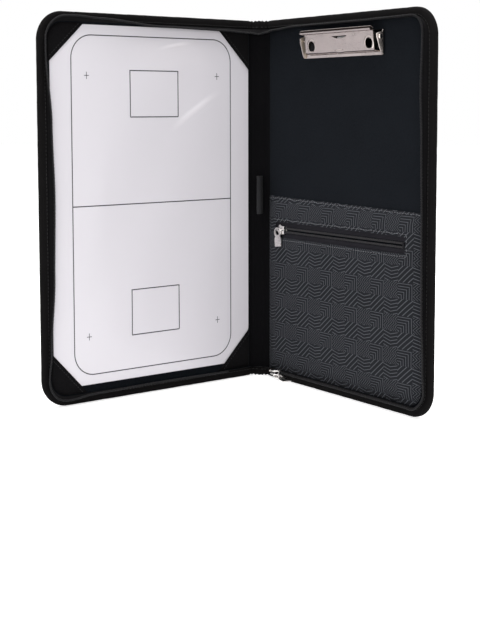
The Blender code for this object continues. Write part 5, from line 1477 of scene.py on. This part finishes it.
def slider(node, name, body, place):
    """Cast slider: two lobed plates, their flanges, the post between them and the crown."""
    tubes = []
    for way in (-1, 1):
        tubes.append(bar(np.linspace(-5.5, 5.5, 30), plate_half, 0.45, 0.3) + (0, 0, way * PLATE_LEVEL))
        for side in (-1, 1):
            flange = bar(np.linspace(-5.4, 2.5, 4), 0.45, 0.62, 0.2)
            tubes.append(flange + (0, side * FLANGE[0], way * FLANGE[1]))
    tubes.append(bar(np.linspace(1, 4, 4), 0.4, 1.8, 0.15))
    bend = np.radians(np.linspace(180, 90, 7))
    leg = CROWN_BEND * np.stack([np.cos(bend) + 1, np.sin(bend)], -1) + (0, CROWN_LEVEL)
    arch = np.concatenate([[(-CROWN_FAR, CROWN_FOOT)], leg - (CROWN_FAR, 0),
                           leg[::-1] * (-1, 1) + (CROWN_LEG, 0), [(CROWN_LEG, CROWN_FOOT)]])
    arch = np.stack([arch[:, 0], np.zeros(len(arch)), arch[:, 1]], -1)
    out = np.cross(unit(np.gradient(arch, axis=0)), (0.0, 1.0, 0.0))
    spread = 0.75 + 0.55 * hill(arch[:, :1], 0.3, 1.5)
    tubes.append(rings_round(arch, spread * (0.0, 1.0, 0.0), 0.7 * out, 12))
    tubes = [place(*np.moveaxis(t, -1, 0)) for t in tubes]
    attach(solid_piece(name, tubes, CAST_METAL, 40), body, node)


def pull_half(y):
    """Half width of a pull at a height: round eye, slight waist, square tab with rounded corners."""
    eye = np.sqrt(np.maximum(EYE[0] ** 2 - np.maximum(y - EYE[1], 0) ** 2, 0.01))
    drop = np.clip((y - TAB_TIP) / TAB_CORNER, 0, 1)
    tip = TAB_CORNER * (1 - np.sqrt(1 - (1 - drop) ** 2))
    return eye - 1.55 * hill(y, -6.6, 1.4) - tip + (TAB_HALF - EYE[0]) * (y < -8)


def eye_gap(x, y):
    """Below 0 inside the hole of a pull's eye."""
    middle, rx, ry = (v * MM for v in EYE_HOLE)
    return (np.hypot(x / rx, (y - middle) / ry) - 1) * (rx + ry) / 2


def pull(node, name, body, place, lean=0.0):
    """Pull cast flat: a large eye and a tab with a sunk panel on both faces."""
    turn = np.radians(np.linspace(0, 90, 6))
    y = np.concatenate([TAB_TIP + TAB_CORNER * (1 - np.cos(turn)),
                        np.linspace(TAB_TIP + TAB_CORNER, EYE[1], 32)[1:],
                        EYE[1] + EYE[0] * np.sin(np.radians(np.linspace(0, 87, 13)))[1:]])
    x = np.linspace(-1, 1, 25) * pull_half(y)[:, None] * MM
    y = np.broadcast_to(y[:, None], x.shape) * MM
    keep, x, y = cut_opening(eye_gap, x, y)
    part, _ = kept_part(np.stack([x, y, np.zeros(x.shape)], -1), np.stack([x, y], -1), keep)
    obj = make_piece(name, part, CAST_METAL, slot="nickel")
    thicken(obj, PULL_T * MM, 0, 40)
    break_edges(obj, 0.22 * MM)
    x, y, z = np.array([v.co for v in obj.data.vertices]).T / MM
    panel = np.minimum(np.minimum(TAB_HALF - PANEL_RIM - np.abs(x), y - TAB_TIP - PANEL_RIM), PANEL_TOP - y)
    z = z - np.sign(z) * PANEL_DEEP * smooth(panel / 0.5 + 0.5) * (np.abs(z) > 0.4)
    c, s = math.cos(lean), math.sin(lean)
    move_points(obj, place(x * c - y * s, x * s + y * c, z))
    tidy_mesh(obj, 40)
    attach(obj, body, node)


def zip_hardware():
    """Sliders and pulls; each place takes their own mm to the folder's metres."""

    def on_pocket(x, y, z):
        return BACK.cover((SLIDER_U - x) * MM, (POCKET_CHAIN[0] + z) * MM, (POCKET_CHAIN[1] + y) * MM)

    def on_pocket_crown(x, y, z):
        u = SLIDER_U - CROWN_LEG + x
        return BACK.cover(u * MM, (POCKET_CROWN_W + z) * MM, (POCKET_CHAIN[1] + y) * MM)

    def on_main(x, y, z):
        return BACK.cover((SLIDER_U + x) * MM, (MAIN_CHAIN[0] + y) * MM, (MAIN_CHAIN[1] - z) * MM)

    def on_main_crown(x, y, z):
        along = MAIN_PULL_EYE - y
        u = SLIDER_U + along * math.cos(MAIN_DROOP) + z * math.sin(MAIN_DROOP)
        height = MAIN_CROWN_Z - along * math.sin(MAIN_DROOP) + z * math.cos(MAIN_DROOP)
        return BACK.cover(u * MM, (MAIN_CHAIN[0] + x) * MM, height * MM)

    slider("pocket_zip_slider", "pocket_slider_cast", "pocket_slider", on_pocket)
    slider("main_zip_slider", "main_slider_cast", "main_slider", on_main)
    pull("pocket_zip_pull", "pocket_pull_cast", "pocket_pull", on_pocket_crown, POCKET_PULL_LEAN)
    pull("main_zip_pull", "main_pull_cast", "main_pull", on_main_crown)


# Pen loop: middle, half width and depth of its section, its ends, and its thickness
LOOP_X, LOOP_HALF, LOOP_DEEP, LOOP_LEVEL, LOOP_Z, LOOP_T = (
    1.2 * MM, 2.85 * MM, 14.4 * MM, 0.75 * MM, (165.4 * MM, 203.0 * MM), 0.85 * MM)


def pen_loop():
    """Loop of ribbed elastic for a pen, sewn to the spine's lining."""
    angle = np.radians(np.linspace(-90, 270, 37)[:-1])
    squared = [np.sign(v) * np.abs(v) ** 0.8 for v in (np.cos(angle), np.sin(angle))]
    shape = np.stack([squared[0] * LOOP_HALF, LOOP_LEVEL + LOOP_DEEP / 2 + squared[1] * LOOP_DEEP / 2], -1)
    z = np.linspace(*LOOP_Z, 22)
    bow = 1 + 0.03 * np.sin(np.linspace(0, math.pi, 22))[:, None]
    x = LOOP_X + shape[:, 0] * bow
    rings = np.stack(np.broadcast_arrays(x, SPINE_Y - shape[:, 1], z[:, None]), -1)
    uv = lattice(z, running(np.concatenate([shape, shape[:1]])))
    obj = make_piece("pen_loop_elastic", grid_quads(rings, uv, wrap=True), ELASTIC, slot="elastic")
    face_out(obj)
    thicken(obj, LOOP_T, -1, 60)
    attach(obj, "spine", "pen_loop")


# Pieces
SHELLS = {half: padded_shell(half) for half in (FRONT, BACK)}
for half in SHELLS:
    lining_sheet(half)
    edge_binding(half)
    standing_tape(half)
rim_coil(FRONT, 44.5 * MM)
rim_coil(BACK, 24.5 * MM)
woven_band()
white_sheet()
court_lines()
corner_pockets()
pocket_seams(pocket_panel())
pocket_zip()
metal_pieces()
zip_hardware()
clip_base()
clip_rod()
clip_lever()
pen_loop()

SLOT_MATERIALS = {"woven_fabric": OUTER, "lining_fabric": LINING, "grosgrain_binding": BINDING_CLOTH,
                  "grey_board": BOARD, "zip_tape": TAPE_CLOTH, "zip_coil": COIL, "woven_band": BAND_CLOTH,
                  "printed_pocket_fabric": PRINT_CLOTH, "corner_pocket_fabric": CORNER_CLOTH,
                  "white_sheet": SHEET, "elastic": ELASTIC, "nickel": NICKEL, "spring_steel": STEEL}
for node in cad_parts.values():
    for slot in node.material_slots:
        name = slot.material.name.split(".")[0]
        if name in SLOT_MATERIALS:
            slot.material = SLOT_MATERIALS[name]


# Camera, floor and light
FLOOR_HALF = 8.0
FLOOR_GLOW = 0.72                # what the floor gives off to rays that are seen
ROUND_LIGHT = 0.28               # the world's strength for all other rays
LAMPS = (("key_light", (-1.3, -3.6, 2.8), (0, 0, 0.2), (2.6, 2.2), 24),
         ("fill_light", (0.9, -4.4, 0.9), (0, 0, 0.15), (2.2, 1.7), 51),
         ("top_light", (0, -0.4, 3.4), (0, 0, 0.1), (2.6, 2.0), 126))


def add_camera():
    camera = bpy.data.objects.new("camera", bpy.data.cameras.new("camera"))
    bpy.context.scene.collection.objects.link(camera)
    turn = Matrix.Rotation(CAMERA_YAW, 4, "Z") @ Matrix.Rotation(math.pi / 2 + CAMERA_PITCH, 4, "X")
    camera.matrix_world = Matrix.Translation(CAMERA_AT) @ turn @ Matrix.Rotation(CAMERA_ROLL, 4, "Z")
    camera.data.lens = CAMERA_LENS
    camera.data.sensor_width = 36
    camera.data.shift_y = CAMERA_SHIFT
    camera.data.clip_start = 0.05
    camera.data.clip_end = 30
    bpy.context.scene.camera = camera


def add_area(name, at, towards, size, power):
    lamp = bpy.data.lights.new(name, "AREA")
    lamp.shape = "RECTANGLE"
    lamp.size, lamp.size_y = size
    lamp.energy = power
    obj = bpy.data.objects.new(name, lamp)
    bpy.context.scene.collection.objects.link(obj)
    aim = (Vector(towards) - Vector(at)).to_track_quat("-Z", "Y")
    obj.matrix_world = Matrix.Translation(at) @ aim.to_matrix().to_4x4()


def add_floor():
    side = np.array((-FLOOR_HALF, FLOOR_HALF))
    points = np.concatenate([lattice(side, side), np.zeros((2, 2, 1))], -1)
    shader = Shader("paper_floor", Roughness=0.9)
    grain = shader.noise(shader.place("Object")[3], 400.0, 2.0)
    shader.bump(grain, 0.02 * MM)
    shader.feed(shader.surface.inputs["Emission Color"], (1, 1, 1))
    shader.feed(shader.surface.inputs["Emission Strength"], shader.seen() * FLOOR_GLOW)
    material = shader.done(shader.mix(grain, (0.90, 0.90, 0.90), (0.93, 0.93, 0.93)))
    floor = make_piece("paper_floor", grid_quads(points, points[..., :2]), material)
    face_towards(floor, (0, 0, 1))


def light_world():
    """Plain light all round; the camera and mirror-like surfaces see it as white paper."""
    world = bpy.data.worlds.new("studio")
    world.use_nodes = True
    bpy.context.scene.world = world
    nodes = Nodes(world.node_tree)
    background = world.node_tree.nodes["Background"]
    level = nodes.add("ShaderNodeMapRange", 0, {0: nodes.seen(), 3: ROUND_LIGHT, 4: 1.0})
    nodes.feed(background.inputs["Strength"], level)
    nodes.feed(background.inputs["Color"], (1, 1, 1))


add_camera()
add_floor()
light_world()
for lamp in LAMPS:
    add_area(*lamp)
bpy.context.scene.view_settings.view_transform = "Standard"
